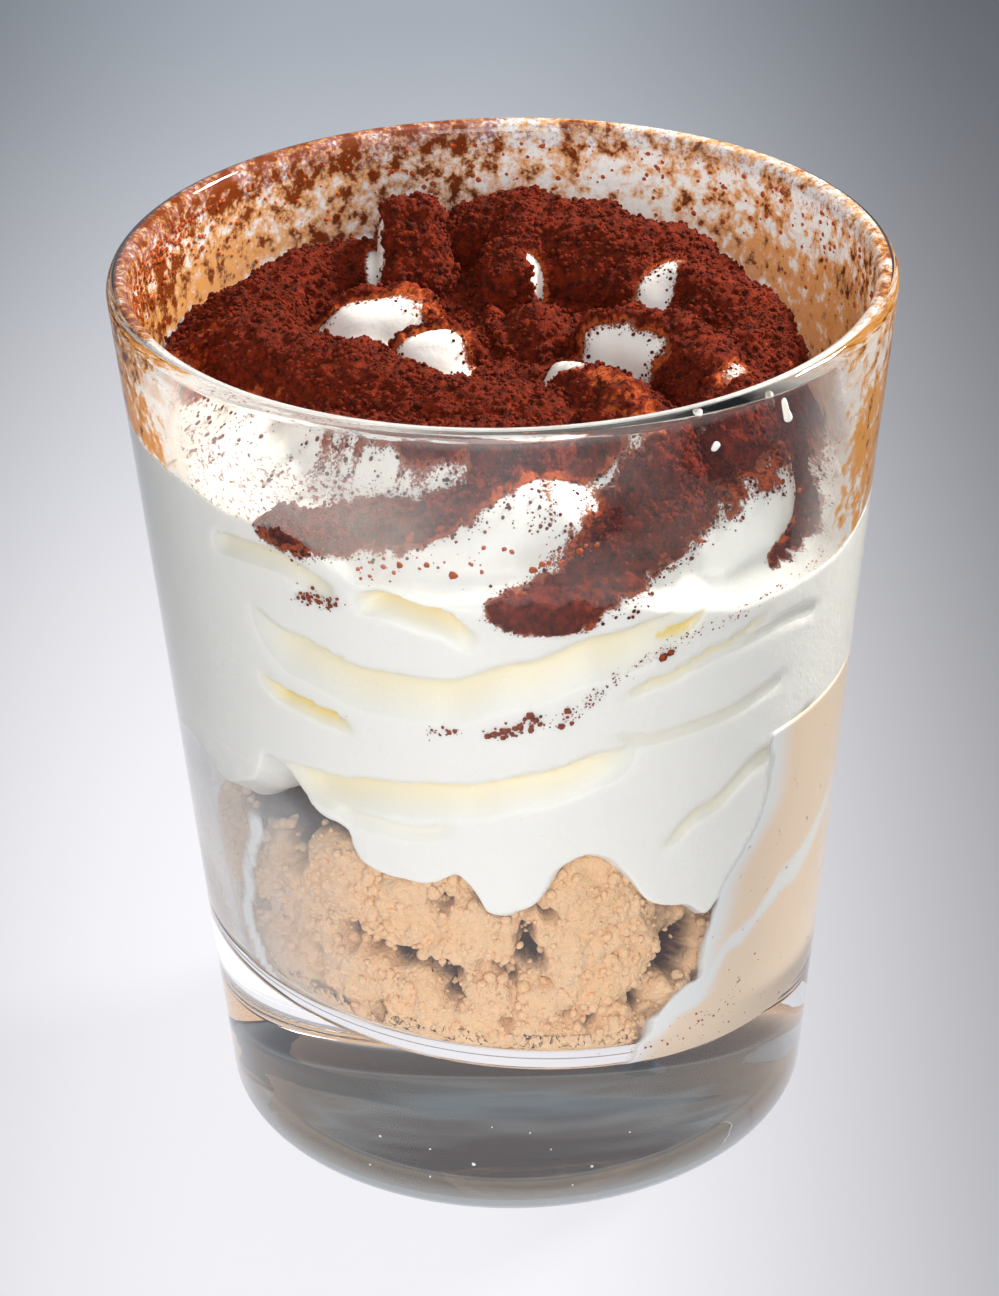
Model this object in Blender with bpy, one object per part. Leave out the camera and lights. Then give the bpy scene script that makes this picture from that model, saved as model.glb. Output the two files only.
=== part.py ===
"""Tiramisu built in its glass: biscuit crumbs, piped mascarpone cream and a skin of cocoa.

Frame: the origin is the centre of the glass's base, +Z is up and the front of the dessert looks along -Y.
Lengths are in metres. An azimuth is in degrees about +Z, 0 at the front and growing towards +X.
"""

import math

import bmesh
import bpy
from mathutils import Vector, noise

MM = 0.001

# Glass: a straight taper on a heavy base.
GLASS_HEIGHT = 95.8 * MM
RIM_RADIUS = 40.0 * MM
BASE_RADIUS = 31.4 * MM
WALL = 2.4 * MM
BASE_EDGE_RADIUS = 2.3 * MM
FLOOR_HEIGHT = 17.4 * MM
FLOOR_FILLET = 6.0 * MM
FLOOR_SLOPE = 0.10
FLOOR_SLOPE_REACH = 12.0 * MM
GLASS_SIDES = 64
BASE_EDGE_STEPS = 3
RIM_STEPS = 4
FILLET_STEPS = 5

# Clearance between solids that lie against each other.
GAP = 0.3 * MM
WELD = 0.01 * MM

# Cream: the filled body, and the height at which it leaves the glass, by azimuth.
CREAM_LOW = 45.5 * MM
CREAM_CROWN = 83.5 * MM
CROWN_WIDTH = 12.0 * MM
BODY_RADIUS = 37.0 * MM
BODY_CORE = 20.0 * MM
BODY_WAIST = 70.0 * MM
FOOT_ROUND = 2.5 * MM
PRESSED_ZONE = 9.0 * MM
CONTACT_HEIGHTS = (
    (-180, 84.5), (-140, 83.5), (-105, 83.5), (-78, 82.7), (-52, 82.0), (-34, 80.7), (-21, 76.9),
    (-4, 75.5), (7, 75.0), (18, 74.5), (28, 72.5), (40, 71.0), (60, 70.8), (90, 73.0), (114, 76.0), (140, 82.0),
    (180, 84.5),
)
# Height of the cream's lower edge on the glass, by azimuth.
LOWER_EDGE = (
    (-180, 46), (-150, 44), (-120, 46.5), (-95, 44.5), (-70, 47), (-57, 44.5), (-49, 47.0), (-44, 51.5), (-39, 49.0),
    (-33, 46.0), (-24, 44.6), (-16, 43.2), (-11, 45.0), (-8, 41.5), (-5, 37.6), (-1, 37.8), (4, 41.6), (12, 44.0),
    (19, 43.0), (25, 39.4), (31, 35.8), (36, 33.0), (40, 35.0), (46, 39.5), (60, 43.5), (75, 44.5), (105, 47),
    (140, 44), (180, 46),
)
SHOULDER_SLOPE = 0.9
SHOULDER_DEPTH = 2.2 * MM
CREAM_VOXEL = 1.0 * MM
CREAM_TRIANGLES = 5200
CREAM_SMOOTHING = 3
BODY_SIDES = 96

# Piped ropes on top: x, y and crest height of each control point, then the rope's radius there, in mm.
TOP_ROPES = {
    "front": ((-30, 13, 85.5, 5), (-25, 3, 88, 6.2), (-17, -6, 88.6, 6.5), (-7, -12.5, 88, 6.5),
              (3, -15.5, 87.4, 6), (9, -19, 85.5, 4.5)),
    "front petal": ((5, -3, 85.5, 3), (9.5, -12, 88, 4), (13, -19, 87.4, 4.6), (15, -26, 83.5, 4.6)),
    "right petal": ((8, 3, 86, 3), (14, 1.5, 88.6, 4), (19, -4.5, 88.6, 4.6), (22.5, -12, 87, 5),
                    (22.5, -20, 84, 5)),
    "right": ((11, 14.5, 87, 5), (18, 14, 88.8, 6.5), (24, 7, 88, 7), (26, -3, 85.5, 6.5), (26, -13, 82, 6)),
    "back ridge": ((0.5, 14, 86.0, 3.5), (2.0, 21, 89.0, 4), (3.5, 27.5, 91.0, 4.5)),
    "back dome": ((3, 27, 90.4, 6), (10, 23.5, 90.2, 8), (18, 18.5, 88.8, 8), (26, 11, 85, 6.5)),
    "back shoulder": ((-7, 29.5, 88.3, 4), (0, 30, 90.2, 4.5)),
    "back left": ((-11, 24, 87, 5.5), (-20, 21, 88, 5.5), (-27, 12.5, 87, 5.5), (-31, 2, 84.5, 4.6)),
    "curl": ((-9.2, 17.5, 86.5, 3.2), (-10.2, 21.5, 92, 3.2), (-10.6, 24, 95.0, 2.9)),
    "curl front": ((-4.6, 17, 86.5, 3.6), (-5.0, 21.5, 91.5, 3.6), (-5.8, 24.5, 94.6, 3.1)),
    "inner left": ((-19, 12, 85.0, 4), (-13, 11.5, 87.2, 4.5), (-6, 11, 87.2, 4)),
    "inner front": ((-12, 2, 84, 3.2), (-8, 1.5, 86.6, 4.4), (-3, 2, 86.4, 4)),
    "centre": ((-2, 8, 86, 4.5), (4, 7, 86.5, 5.5), (9, 7, 86.5, 4.5)),
}

# Turns of the rope that lean on the glass: azimuth, radius of the middle line, crest height and rope radius, in mm.
SIDE_ROPES = {
    "first turn": ((-48, 32.5, 80.5, 4), (-28, 31, 81.5, 5), (-12, 29, 82.6, 6), (4, 27, 84, 6.5),
                   (16, 23, 86.5, 6)),
    "second turn": ((-10, 33.5, 74.8, 3), (4, 32.5, 76, 4), (16, 31, 78.5, 5), (28, 29, 82, 6), (38, 26, 86, 6.5)),
    "third turn": ((34, 33.5, 74, 3), (46, 31.5, 79, 4.5), (56, 29.5, 83, 5.5), (66, 27, 86, 6)),
    "brow": ((-66, 25, 84.0, 4.5), (-40, 23, 86.2, 5), (-20, 21.5, 86.8, 5), (0, 20, 87, 5), (13, 18.5, 87, 4.5)),
    "drip": ((6, 29.5, 51, 4), (-1, 31, 47, 4.2), (-5, 32, 44.2, 3.6)),
    "right drip": ((18, 29, 53, 4.5), (28, 31.0, 47.5, 4.5), (36, 31.6, 41.5, 4.0)),
    "shell": ((-30, 31, 51.5, 3.8), (-17, 31.5, 50.5, 4), (-10, 30, 51, 3.6)),
}

# Creases between the strands on the glass: four azimuths, four heights in mm, depth, sharp side and soft side in mm.
CREASES = {
    "long valley": ((-46, -22, 1, 30), (71.5, 66.9, 68.8, 73.0), 1.9, 0.8, 5.0),
    "hollow": ((-24, -18, -12, -5), (75, 75.6, 74.6, 72.6), 2.8, 0.9, 2.6),
    "small slit": ((-45, -38, -28, -20), (62.2, 61, 60.2, 59), 1.8, 0.7, 1.8),
    "low crease": ((-40, -21, 0, 20), (51.9, 54.2, 55.2, 57.4), 2.2, 0.8, 4.0),
    "right upper": ((14, 23, 34, 56), (60.4, 59, 59.2, 60.5), 1.2, 0.7, 2.0),
    "right lower": ((22, 32, 46, 70), (44.4, 48.5, 52, 54), 1.5, 0.8, 2.6),
    "left valley": ((-64, -50, -38, -26), (76.4, 78, 78.4, 76), 1.0, 1.0, 2.6),
    "left fold": ((-78, -66, -56, -47), (60, 66.5, 66, 62), 0.9, 0.8, 2.8),
}
BACK_CREASES = 5
BACK_CREASE_FIRST = 52.0
BACK_CREASE_PITCH = 6.4
BACK_CREASE_SWAY = 2.4
BACK_CREASE_AZIMUTHS = (82, 140, 215, 275)

# Cocoa: a powder skin over the top, open where the cream stays bare (x, y and radius of each bare spot, in mm).
COCOA_THICKNESS = 0.9 * MM
COCOA_EDGE = 3.5 * MM
COCOA_LOW = 79.0 * MM
COCOA_STEEPEST = 0.3
TIGHTEST_CORNER = 0.5
BARE_SPOTS = ((-13.6, 8.0, 3.4), (-7.6, -0.6, 3.2), (15.2, 9.3, 2.6), (11.6, -1.8, 3.2), (4.6, -6.4, 2.6))

# Clearance that the cream cuts in the crumbs under it, with room for the coarse faces.
CRUMB_CLEARANCE = GAP + 0.35 * MM

# Biscuit: a bed of crumbs with clumps against the glass (azimuth, height, radius and depth behind the glass, in mm).
BED_TOP = 43.0 * MM
BED_INSET = 4.5 * MM
BED_FOOT_INSET = 1.0 * MM
BED_FOOT_HEIGHT = 6.0 * MM
BED_SIDES = 64
CLUMPS = (
    (17, 32.4, 7.9, 6.0), (-10, 36.8, 3.6, 2.5), (-4, 35.0, 3.2, 2.2), (-11, 32.8, 3.5, 2.4), (-34, 39.5, 5.0, 3.4),
    (-23, 37.6, 4.8, 3.2), (-31, 28.6, 4.9, 3.2), (-20, 26.4, 4.3, 2.8), (-10, 24.2, 3.6, 2.4), (-5.5, 27.6, 3.2, 2.0),
    (5, 27.0, 3.1, 2.0), (2, 22.6, 3.0, 2.0), (10, 21.4, 3.0, 2.0), (20, 22.0, 3.2, 2.2), (-48, 37, 5.6, 4.0),
    (-50, 27, 5.6, 4.0), (-39, 22, 4.2, 3.0), (-24, 20.5, 3.4, 2.4), (31, 25.0, 3.6, 3.0), (33, 33.5, 4.0, 5.4),
    (46, 27, 6.0, 4.6), (60, 34, 6.4, 5.0), (-40, 33.5, 3.6, 2.6), (26, 43.5, 4.0, 4.0), (-14, 41.5, 3.4, 3.4),
)
BACK_CLUMPS = 11
BACK_CLUMP_FIRST = 76.0
BACK_CLUMP_SPREAD = 212.0
BACK_CLUMP_HEIGHTS = (24.0, 35.0, 29.0)
BACK_CLUMP_SIZES = (6.6, 6.1)
BACK_CLUMP_DEPTH = 5.0
BISCUIT_VOXEL = 1.3 * MM
BISCUIT_TRIANGLES = 2000
BISCUIT_SMOOTHING = 2
CRUMB_RELIEF = 0.8 * MM
CRUMB_NOISE = 0.35 / MM
CRUMB_SPREAD = 0.02
CLUMP_NOISE = 0.22 / MM
CLUMP_RELIEF = 0.16


def outer_radius(height):
    """Outside radius of the glass at a height."""
    return BASE_RADIUS + (RIM_RADIUS - BASE_RADIUS) * height / GLASS_HEIGHT


def inner_radius(height):
    """Inside radius of the glass at a height."""
    return outer_radius(height) - WALL


def floor_lift(x, height):
    """Rise of the sloping inner floor at x, which fades out up the wall."""
    fade = min(max((height - FLOOR_HEIGHT) / FLOOR_SLOPE_REACH, 0.0), 1.0)
    return -x * FLOOR_SLOPE * (1.0 - fade * fade * (3.0 - 2.0 * fade))


def floor_height(x, radius):
    """Height of the glass's inner floor with its rounded corner."""
    corner = inner_radius(FLOOR_HEIGHT) - FLOOR_FILLET
    over = min(max(radius - corner, 0.0), FLOOR_FILLET)
    return FLOOR_HEIGHT + floor_lift(x, FLOOR_HEIGHT) + FLOOR_FILLET - math.sqrt(FLOOR_FILLET**2 - over**2)


def smooth_step(value):
    """Eased ramp from 0 to 1."""
    value = min(max(value, 0.0), 1.0)
    return value * value * (3.0 - 2.0 * value)


def between(table, value):
    """Value of a table of (place, amount) pairs at a place, with eased steps."""
    for (left, low), (right, high) in zip(table, table[1:]):
        if value <= right:
            return low + (high - low) * smooth_step((value - left) / (right - left))
    return table[-1][1]


def azimuth_of(x, y):
    """Azimuth of a point in degrees, 0 at the front."""
    return math.degrees(math.atan2(x, -y))


def polar(azimuth, radius, height):
    """Point at an azimuth in degrees."""
    angle = math.radians(azimuth)
    return Vector((radius * math.sin(angle), -radius * math.cos(angle), height))


def contact_height(azimuth):
    """Height at which the cream leaves the glass."""
    return between(CONTACT_HEIGHTS, azimuth) * MM


def smooth_path(points, steps=7):
    """Points on a Catmull-Rom curve through control points of any length."""
    padded = [points[0], *points, points[-1]]
    path = []
    for before, start, end, after in zip(padded, padded[1:], padded[2:], padded[3:]):
        for step in range(steps):
            t = step / steps
            path.append(tuple(
                0.5 * (2 * s + (e - b) * t + (2 * b - 5 * s + 4 * e - a) * t * t + (3 * s - b - 3 * e + a) * t**3)
                for b, s, e, a in zip(before, start, end, after)
            ))
    path.append(tuple(float(value) for value in points[-1]))
    return path


def top_rope(points):
    """Middle line and radii of a rope given by x, y and crest height."""
    return [(Vector((x, y, z - r)) * MM, r * MM) for x, y, z, r in smooth_path(points)]


def side_rope(points):
    """Middle line and radii of a rope given by azimuth, radius and crest height."""
    return [(polar(a, d * MM, (z - r) * MM), r * MM) for a, d, z, r in smooth_path(points)]


def rounded_ends(rope):
    """The rope with its radius drawn in to a dome at each end."""
    travelled = [0.0]
    for (start, _), (end, _) in zip(rope, rope[1:]):
        travelled.append(travelled[-1] + (end - start).length)
    result = []
    for (point, radius), place in zip(rope, travelled):
        inset = min(min(place, travelled[-1] - place) / radius, 1.0)
        result.append((point, radius * max(math.sqrt(1.0 - (1.0 - inset) ** 2), 0.1)))
    return result


def rope_mesh(ropes, grow):
    """One mesh with a closed tube for each rope, all fatter by grow."""
    curve = bpy.data.curves.new("ropes", "CURVE")
    curve.dimensions = "3D"
    curve.bevel_depth = 1.0
    curve.bevel_resolution = 4
    curve.use_fill_caps = True
    for rope in ropes:
        spline = curve.splines.new("POLY")
        spline.points.add(len(rope) - 1)
        for target, (point, radius) in zip(spline.points, rope):
            target.co = (*point, 1.0)
            target.radius = radius + grow
    holder = bpy.data.objects.new("ropes", curve)
    bpy.context.collection.objects.link(holder)
    mesh = evaluated_mesh(holder)
    bpy.data.objects.remove(holder)
    return mesh


def evaluated_mesh(obj):
    """A copy of the object's mesh with its modifiers applied."""
    bpy.context.view_layer.update()
    graph = bpy.context.evaluated_depsgraph_get()
    return bpy.data.meshes.new_from_object(obj.evaluated_get(graph))


def remeshed(meshes, voxel, smoothing):
    """The union of closed meshes as one skin, smoothed, with the sealed pockets dropped."""
    bm = bmesh.new()
    for mesh in meshes:
        bm.from_mesh(mesh)
    joined = bpy.data.meshes.new("joined")
    bm.to_mesh(joined)
    bm.free()
    holder = bpy.data.objects.new("joined", joined)
    bpy.context.collection.objects.link(holder)
    remesh = holder.modifiers.new("union", "REMESH")
    remesh.mode = "VOXEL"
    remesh.voxel_size = voxel
    smooth = holder.modifiers.new("smooth", "SMOOTH")
    smooth.factor = 0.5
    smooth.iterations = smoothing
    result = evaluated_mesh(holder)
    bpy.data.objects.remove(holder)
    return largest_body(result)


def largest_body(mesh):
    """The mesh with only its largest connected body."""
    bm = bmesh.new()
    bm.from_mesh(mesh)
    unseen = set(bm.verts)
    bodies = []
    while unseen:
        queue = [unseen.pop()]
        body = list(queue)
        while queue:
            for edge in queue.pop().link_edges:
                for vert in edge.verts:
                    if vert in unseen:
                        unseen.remove(vert)
                        queue.append(vert)
                        body.append(vert)
        bodies.append(body)
    bodies.sort(key=len)
    for body in bodies[:-1]:
        bmesh.ops.delete(bm, geom=body, context="VERTS")
    bm.to_mesh(mesh)
    bm.free()
    return mesh


def decimated(mesh, triangles):
    """The mesh brought down to about a number of triangles."""
    mesh.calc_loop_triangles()
    holder = bpy.data.objects.new("decimated", mesh)
    bpy.context.collection.objects.link(holder)
    triangulate = holder.modifiers.new("triangles", "TRIANGULATE")
    triangulate.quad_method = "SHORTEST_DIAGONAL"
    reduce = holder.modifiers.new("reduce", "DECIMATE")
    reduce.ratio = min(triangles / len(mesh.loop_triangles), 1.0)
    result = evaluated_mesh(holder)
    bpy.data.objects.remove(holder)
    return result


def crease_list():
    """Creases on the seen side, and the like swaying creases round the back."""
    creases = list(CREASES.values())
    for index in range(BACK_CREASES):
        height = BACK_CREASE_FIRST + index * BACK_CREASE_PITCH
        sway = BACK_CREASE_SWAY * math.sin(1.7 * index + 0.6)
        azimuths = BACK_CREASE_AZIMUTHS
        heights = (height + sway, height - sway, height + 0.6 * sway, height)
        creases.append((azimuths, heights, 1.4 + 0.4 * math.cos(2.3 * index), 0.8, 3.0))
    return creases


def crease_depth(crease, azimuth, height):
    """Depth of one crease at a place on the glass: a sharp lip above it and a soft slope below."""
    azimuths, heights, depth, sharp, soft = crease
    if azimuth < azimuths[0] - 1.0 and azimuths[-1] > 180.0:
        azimuth += 360.0
    span = azimuths[-1] - azimuths[0]
    along = (azimuth - azimuths[0]) / span
    if not 0.0 < along < 1.0:
        return 0.0
    line = between(tuple(zip(azimuths, heights)), azimuth)
    above = height / MM - line
    width = sharp if above > 0.0 else soft
    profile = 1.0 - smooth_step(abs(above) / width)
    ends = smooth_step(min(along, 1.0 - along) * 6.0)
    return depth * MM * profile * ends


def pressed(mesh, reach, creases, grow):
    """Press the mesh against the glass, then draw in the creases and the shoulder above the contact line."""
    for vert in mesh.vertices:
        x, y, z = vert.co
        radius = math.hypot(x, y)
        limit = inner_radius(z) + reach
        near = smooth_step(1.0 + (radius - limit) / PRESSED_ZONE)
        if near <= 0.0:
            continue
        azimuth = azimuth_of(x, y)
        recess = max(crease_depth(crease, azimuth, z) for crease in creases)
        above = z - contact_height(azimuth)
        recess += min(max(above * SHOULDER_SLOPE, 0.0), SHOULDER_DEPTH)
        target = min(radius, limit) - max(recess - grow, 0.0) * near
        vert.co.x *= target / radius
        vert.co.y *= target / radius
    return mesh


def cream_body(grow):
    """Closed body under the ropes, whose top edge follows the contact line."""
    bm = bmesh.new()
    low = CREAM_LOW - grow
    edge = inner_radius(low)
    rings = ((0.0, low), (BODY_CORE, low), (edge - FOOT_ROUND, low), (edge + MM, low + FOOT_ROUND))
    tops = [CROWN_WIDTH * step / 3.0 for step in range(4)]
    profile = [bm.verts.new((0.0, -radius, height)) for radius, height in rings]
    profile += [bm.verts.new((0.0, inset - BODY_RADIUS, BODY_WAIST)) for inset in tops]
    profile.append(bm.verts.new((0.0, 0.0, BODY_WAIST)))
    edges = [bm.edges.new(pair) for pair in zip(profile, profile[1:])]
    bmesh.ops.spin(bm, geom=profile + edges, cent=(0, 0, 0), axis=(0, 0, 1), angle=math.tau, steps=BODY_SIDES,
                   use_merge=True)
    bmesh.ops.remove_doubles(bm, verts=bm.verts, dist=WELD)
    for vert in bm.verts:
        azimuth = azimuth_of(vert.co.x, vert.co.y)
        radius = math.hypot(vert.co.x, vert.co.y)
        if vert.co.z < CREAM_LOW + FOOT_ROUND + WELD:
            outer = smooth_step((radius - BODY_CORE) / (edge - FOOT_ROUND - BODY_CORE))
            vert.co.z += (between(LOWER_EDGE, azimuth) * MM - CREAM_LOW) * outer
        if vert.co.z > BODY_WAIST - MM:
            start = contact_height(azimuth)
            rise = smooth_step((BODY_RADIUS - radius) / CROWN_WIDTH)
            vert.co.z = start + (CREAM_CROWN - start) * rise + grow
    bmesh.ops.recalc_face_normals(bm, faces=bm.faces)
    mesh = bpy.data.meshes.new("cream body")
    bm.to_mesh(mesh)
    bm.free()
    return mesh


def cream_mesh(grow=0.0):
    """The cream as one solid, or a copy fatter by grow that cuts clearance in its neighbours."""
    ropes = [rounded_ends(top_rope(points)) for points in TOP_ROPES.values()]
    ropes += [rounded_ends(side_rope(points)) for points in SIDE_ROPES.values()]
    skin = remeshed([cream_body(grow), rope_mesh(ropes, grow)], CREAM_VOXEL, CREAM_SMOOTHING)
    return pressed(skin, grow - GAP, crease_list(), grow)


def clump_places():
    """Azimuth, height, radius and depth of every clump, the unseen ones spread evenly round the back."""
    places = list(CLUMPS)
    for index in range(BACK_CLUMPS):
        azimuth = BACK_CLUMP_FIRST + index * BACK_CLUMP_SPREAD / (BACK_CLUMPS - 1)
        places.append((azimuth, BACK_CLUMP_HEIGHTS[index % 3], BACK_CLUMP_SIZES[index % 2], BACK_CLUMP_DEPTH))
    return places


def clump_mesh(azimuth, height, size, depth, index):
    """One lumpy ball of crumbs."""
    bm = bmesh.new()
    bmesh.ops.create_icosphere(bm, subdivisions=3, radius=size * MM)
    for vert in bm.verts:
        rough = noise.noise(vert.co * CLUMP_NOISE + Vector((index, 0.0, 0.0)))
        vert.co *= 1.0 + CLUMP_RELIEF * rough
    bmesh.ops.translate(bm, verts=bm.verts, vec=polar(azimuth, inner_radius(height * MM) - depth * MM, height * MM))
    mesh = bpy.data.meshes.new("clump")
    bm.to_mesh(mesh)
    bm.free()
    return mesh


def biscuit_bed():
    """Closed core of the crumb heap, standing on the glass's sloping floor."""
    bm = bmesh.new()
    top = inner_radius(BED_TOP) - BED_INSET
    foot = inner_radius(FLOOR_HEIGHT) - BED_FOOT_INSET
    rise = BED_TOP - FLOOR_HEIGHT
    outline = (
        (0.0, 0.0), (0.5 * foot, 0.0), (foot, 0.0), (foot + MM, BED_FOOT_HEIGHT), (top, rise), (0.0, rise),
    )
    profile = [bm.verts.new((0.0, -radius, FLOOR_HEIGHT + height)) for radius, height in outline]
    edges = [bm.edges.new(pair) for pair in zip(profile, profile[1:])]
    bmesh.ops.spin(
        bm, geom=profile + edges, cent=(0, 0, 0), axis=(0, 0, 1), angle=math.tau, steps=BED_SIDES, use_merge=True
    )
    bmesh.ops.remove_doubles(bm, verts=bm.verts, dist=WELD)
    for vert in bm.verts:
        vert.co.z += floor_lift(vert.co.x, FLOOR_HEIGHT)
    bmesh.ops.recalc_face_normals(bm, faces=bm.faces)
    mesh = bpy.data.meshes.new("bed")
    bm.to_mesh(mesh)
    bm.free()
    return mesh


def biscuit_mesh():
    """The crumb heap as one skin held inside the glass."""
    clumps = [clump_mesh(*place, index) for index, place in enumerate(clump_places())]
    mesh = remeshed([biscuit_bed(), *clumps], BISCUIT_VOXEL, BISCUIT_SMOOTHING)
    for vert in mesh.vertices:
        x, y, z = vert.co
        rough = noise.noise(vert.co * CRUMB_NOISE)
        radius = math.hypot(x, y) * (1.0 + CRUMB_SPREAD * rough)
        limit = inner_radius(z) - GAP
        target = min(radius, limit)
        scale = target / max(math.hypot(x, y), MM)
        vert.co.x *= scale
        vert.co.y *= scale
        vert.co.z = max(z + CRUMB_RELIEF * rough, floor_height(vert.co.x, math.hypot(vert.co.x, vert.co.y)) + GAP)
    return mesh


def cut(mesh, cutter):
    """The mesh less the cutter."""
    target = bpy.data.objects.new("target", mesh)
    tool = bpy.data.objects.new("tool", cutter)
    for obj in (target, tool):
        bpy.context.collection.objects.link(obj)
    boolean = target.modifiers.new("clearance", "BOOLEAN")
    boolean.operation = "DIFFERENCE"
    boolean.solver = "MANIFOLD"
    boolean.object = tool
    result = evaluated_mesh(target)
    for obj in (target, tool):
        bpy.data.objects.remove(obj)
    return largest_body(result)


def cocoa_mesh(cream):
    """A closed skin that follows the cream's upper faces at a small gap, with the bare spots left open."""
    sheet = bmesh.new()
    sheet.from_mesh(cream)
    sheet.normal_update()
    lift = sheet.verts.layers.float_vector.new("lift")
    for vert in sheet.verts:
        tightest = min(vert.normal.dot(face.normal) for face in vert.link_faces)
        vert[lift] = vert.normal / max(tightest, TIGHTEST_CORNER)
    bmesh.ops.delete(sheet, geom=[face for face in sheet.faces if not is_dusted(face)], context="FACES")
    trim_loose_corners(sheet)
    mesh = bpy.data.meshes.new("cocoa")
    sheet.to_mesh(mesh)
    sheet.free()
    skin = bmesh.new()
    skin.from_mesh(largest_body(mesh))
    lift = skin.verts.layers.float_vector.get("lift")
    for vert in skin.verts:
        vert.co += vert[lift] * GAP
    grown = bmesh.ops.extrude_face_region(skin, geom=list(skin.faces), use_keep_orig=True)
    for item in grown["geom"]:
        if isinstance(item, bmesh.types.BMVert):
            item.co += item[lift] * COCOA_THICKNESS
    bmesh.ops.recalc_face_normals(skin, faces=skin.faces)
    skin.to_mesh(mesh)
    skin.free()
    return mesh


def is_dusted(face):
    """Whether cocoa lies on a face of the cream."""
    middle = face.calc_center_median()
    radius = math.hypot(middle.x, middle.y)
    if face.normal.z < COCOA_STEEPEST or middle.z < COCOA_LOW or radius > inner_radius(middle.z) - COCOA_EDGE:
        return False
    return all(math.hypot(middle.x - x * MM, middle.y - y * MM) > size * MM for x, y, size in BARE_SPOTS)


def trim_loose_corners(bm):
    """Remove faces until no two parts of the sheet meet in a single corner."""
    while True:
        loose = [vert for vert in bm.verts if sum(edge.is_boundary for edge in vert.link_edges) > 2]
        if not loose:
            return
        faces = {face for vert in loose for face in vert.link_faces}
        bmesh.ops.delete(bm, geom=list(faces), context="FACES")


def glass_mesh():
    """The glass: a turned profile with a heavy base, whose inner floor slopes down to the right."""
    profile = [(0.0, 0.0)]
    for step in range(BASE_EDGE_STEPS + 1):
        angle = math.radians(-90.0 + 90.0 * step / BASE_EDGE_STEPS)
        x = outer_radius(BASE_EDGE_RADIUS) - BASE_EDGE_RADIUS + BASE_EDGE_RADIUS * math.cos(angle)
        profile.append((x, BASE_EDGE_RADIUS + BASE_EDGE_RADIUS * math.sin(angle)))
    lip = 0.5 * WALL
    for step in range(RIM_STEPS + 1):
        angle = math.radians(180.0 * step / RIM_STEPS)
        profile.append((RIM_RADIUS - lip + lip * math.cos(angle), GLASS_HEIGHT - lip + lip * math.sin(angle)))
    corner = inner_radius(FLOOR_HEIGHT) - FLOOR_FILLET
    profile.append((inner_radius(0.5 * GLASS_HEIGHT), 0.5 * GLASS_HEIGHT))
    for step in range(FILLET_STEPS + 1):
        angle = math.radians(-90.0 * step / FILLET_STEPS)
        x = corner + (inner_radius(FLOOR_HEIGHT + FLOOR_FILLET) - corner) * math.cos(angle)
        profile.append((x, FLOOR_HEIGHT + FLOOR_FILLET + FLOOR_FILLET * math.sin(angle)))
    profile.append((0.5 * corner, FLOOR_HEIGHT))
    profile.append((0.0, FLOOR_HEIGHT))
    bm = bmesh.new()
    verts = [bm.verts.new((0.0, -radius, height)) for radius, height in profile]
    edges = [bm.edges.new(pair) for pair in zip(verts, verts[1:])]
    bmesh.ops.spin(
        bm, geom=verts + edges, cent=(0, 0, 0), axis=(0, 0, 1), angle=math.tau, steps=GLASS_SIDES, use_merge=True
    )
    bmesh.ops.remove_doubles(bm, verts=bm.verts, dist=WELD)
    for vert in bm.verts:
        inside = math.hypot(vert.co.x, vert.co.y) < inner_radius(vert.co.z) + 0.5 * WALL
        if inside and vert.co.z > 0.5 * FLOOR_HEIGHT:
            vert.co.z += floor_lift(vert.co.x, vert.co.z)
    bmesh.ops.recalc_face_normals(bm, faces=bm.faces)
    mesh = bpy.data.meshes.new("glass")
    bm.to_mesh(mesh)
    bm.free()
    return mesh


def add_solid(name, mesh, colour, roughness, transmission=0.0):
    """Put a mesh in the scene as a named solid with its own material."""
    mesh.name = name
    mesh.materials.clear()
    material = bpy.data.materials.new(name)
    material.use_nodes = True
    shader = material.node_tree.nodes["Principled BSDF"]
    shader.inputs["Base Color"].default_value = (*colour, 1.0)
    shader.inputs["Roughness"].default_value = roughness
    shader.inputs["Metallic"].default_value = 0.0
    shader.inputs["Transmission Weight"].default_value = transmission
    mesh.materials.append(material)
    mesh.shade_smooth()
    mesh.set_sharp_from_angle(angle=math.radians(40.0))
    obj = bpy.data.objects.new(name, mesh)
    bpy.context.collection.objects.link(obj)


def main():
    """Build the glass and what is in it."""
    for obj in list(bpy.data.objects):
        bpy.data.objects.remove(obj)
    cream = decimated(cream_mesh(), CREAM_TRIANGLES)
    biscuit = decimated(biscuit_mesh(), BISCUIT_TRIANGLES)
    biscuit = cut(biscuit, decimated(cream_mesh(grow=CRUMB_CLEARANCE), CREAM_TRIANGLES))
    cocoa = cocoa_mesh(cream)
    add_solid("glass", glass_mesh(), (0.95, 0.97, 0.97), 0.02, transmission=1.0)
    add_solid("biscuit_crumbs", biscuit, (0.62, 0.40, 0.22), 0.9)
    add_solid("cream", cream, (0.86, 0.84, 0.78), 0.4)
    add_solid("cocoa", cocoa, (0.09, 0.03, 0.015), 0.95)


main()
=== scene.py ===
"""Looks of a tiramisu served in a heavy glass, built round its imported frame.

Lengths are metres in the row frame: the origin is the middle of the glass's base, +Z is up and the seen
side looks along -Y. An azimuth is in degrees about +Z, 0 at the front and growing towards +X. Tables of
places are in millimetres, as a maker would write them down.
"""

import logging
import math
import random
from collections.abc import Callable, Iterable, Sequence
from dataclasses import dataclass
from enum import Enum
from typing import Any

import bmesh
import bpy
from mathutils import Matrix, Vector, noise

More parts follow.
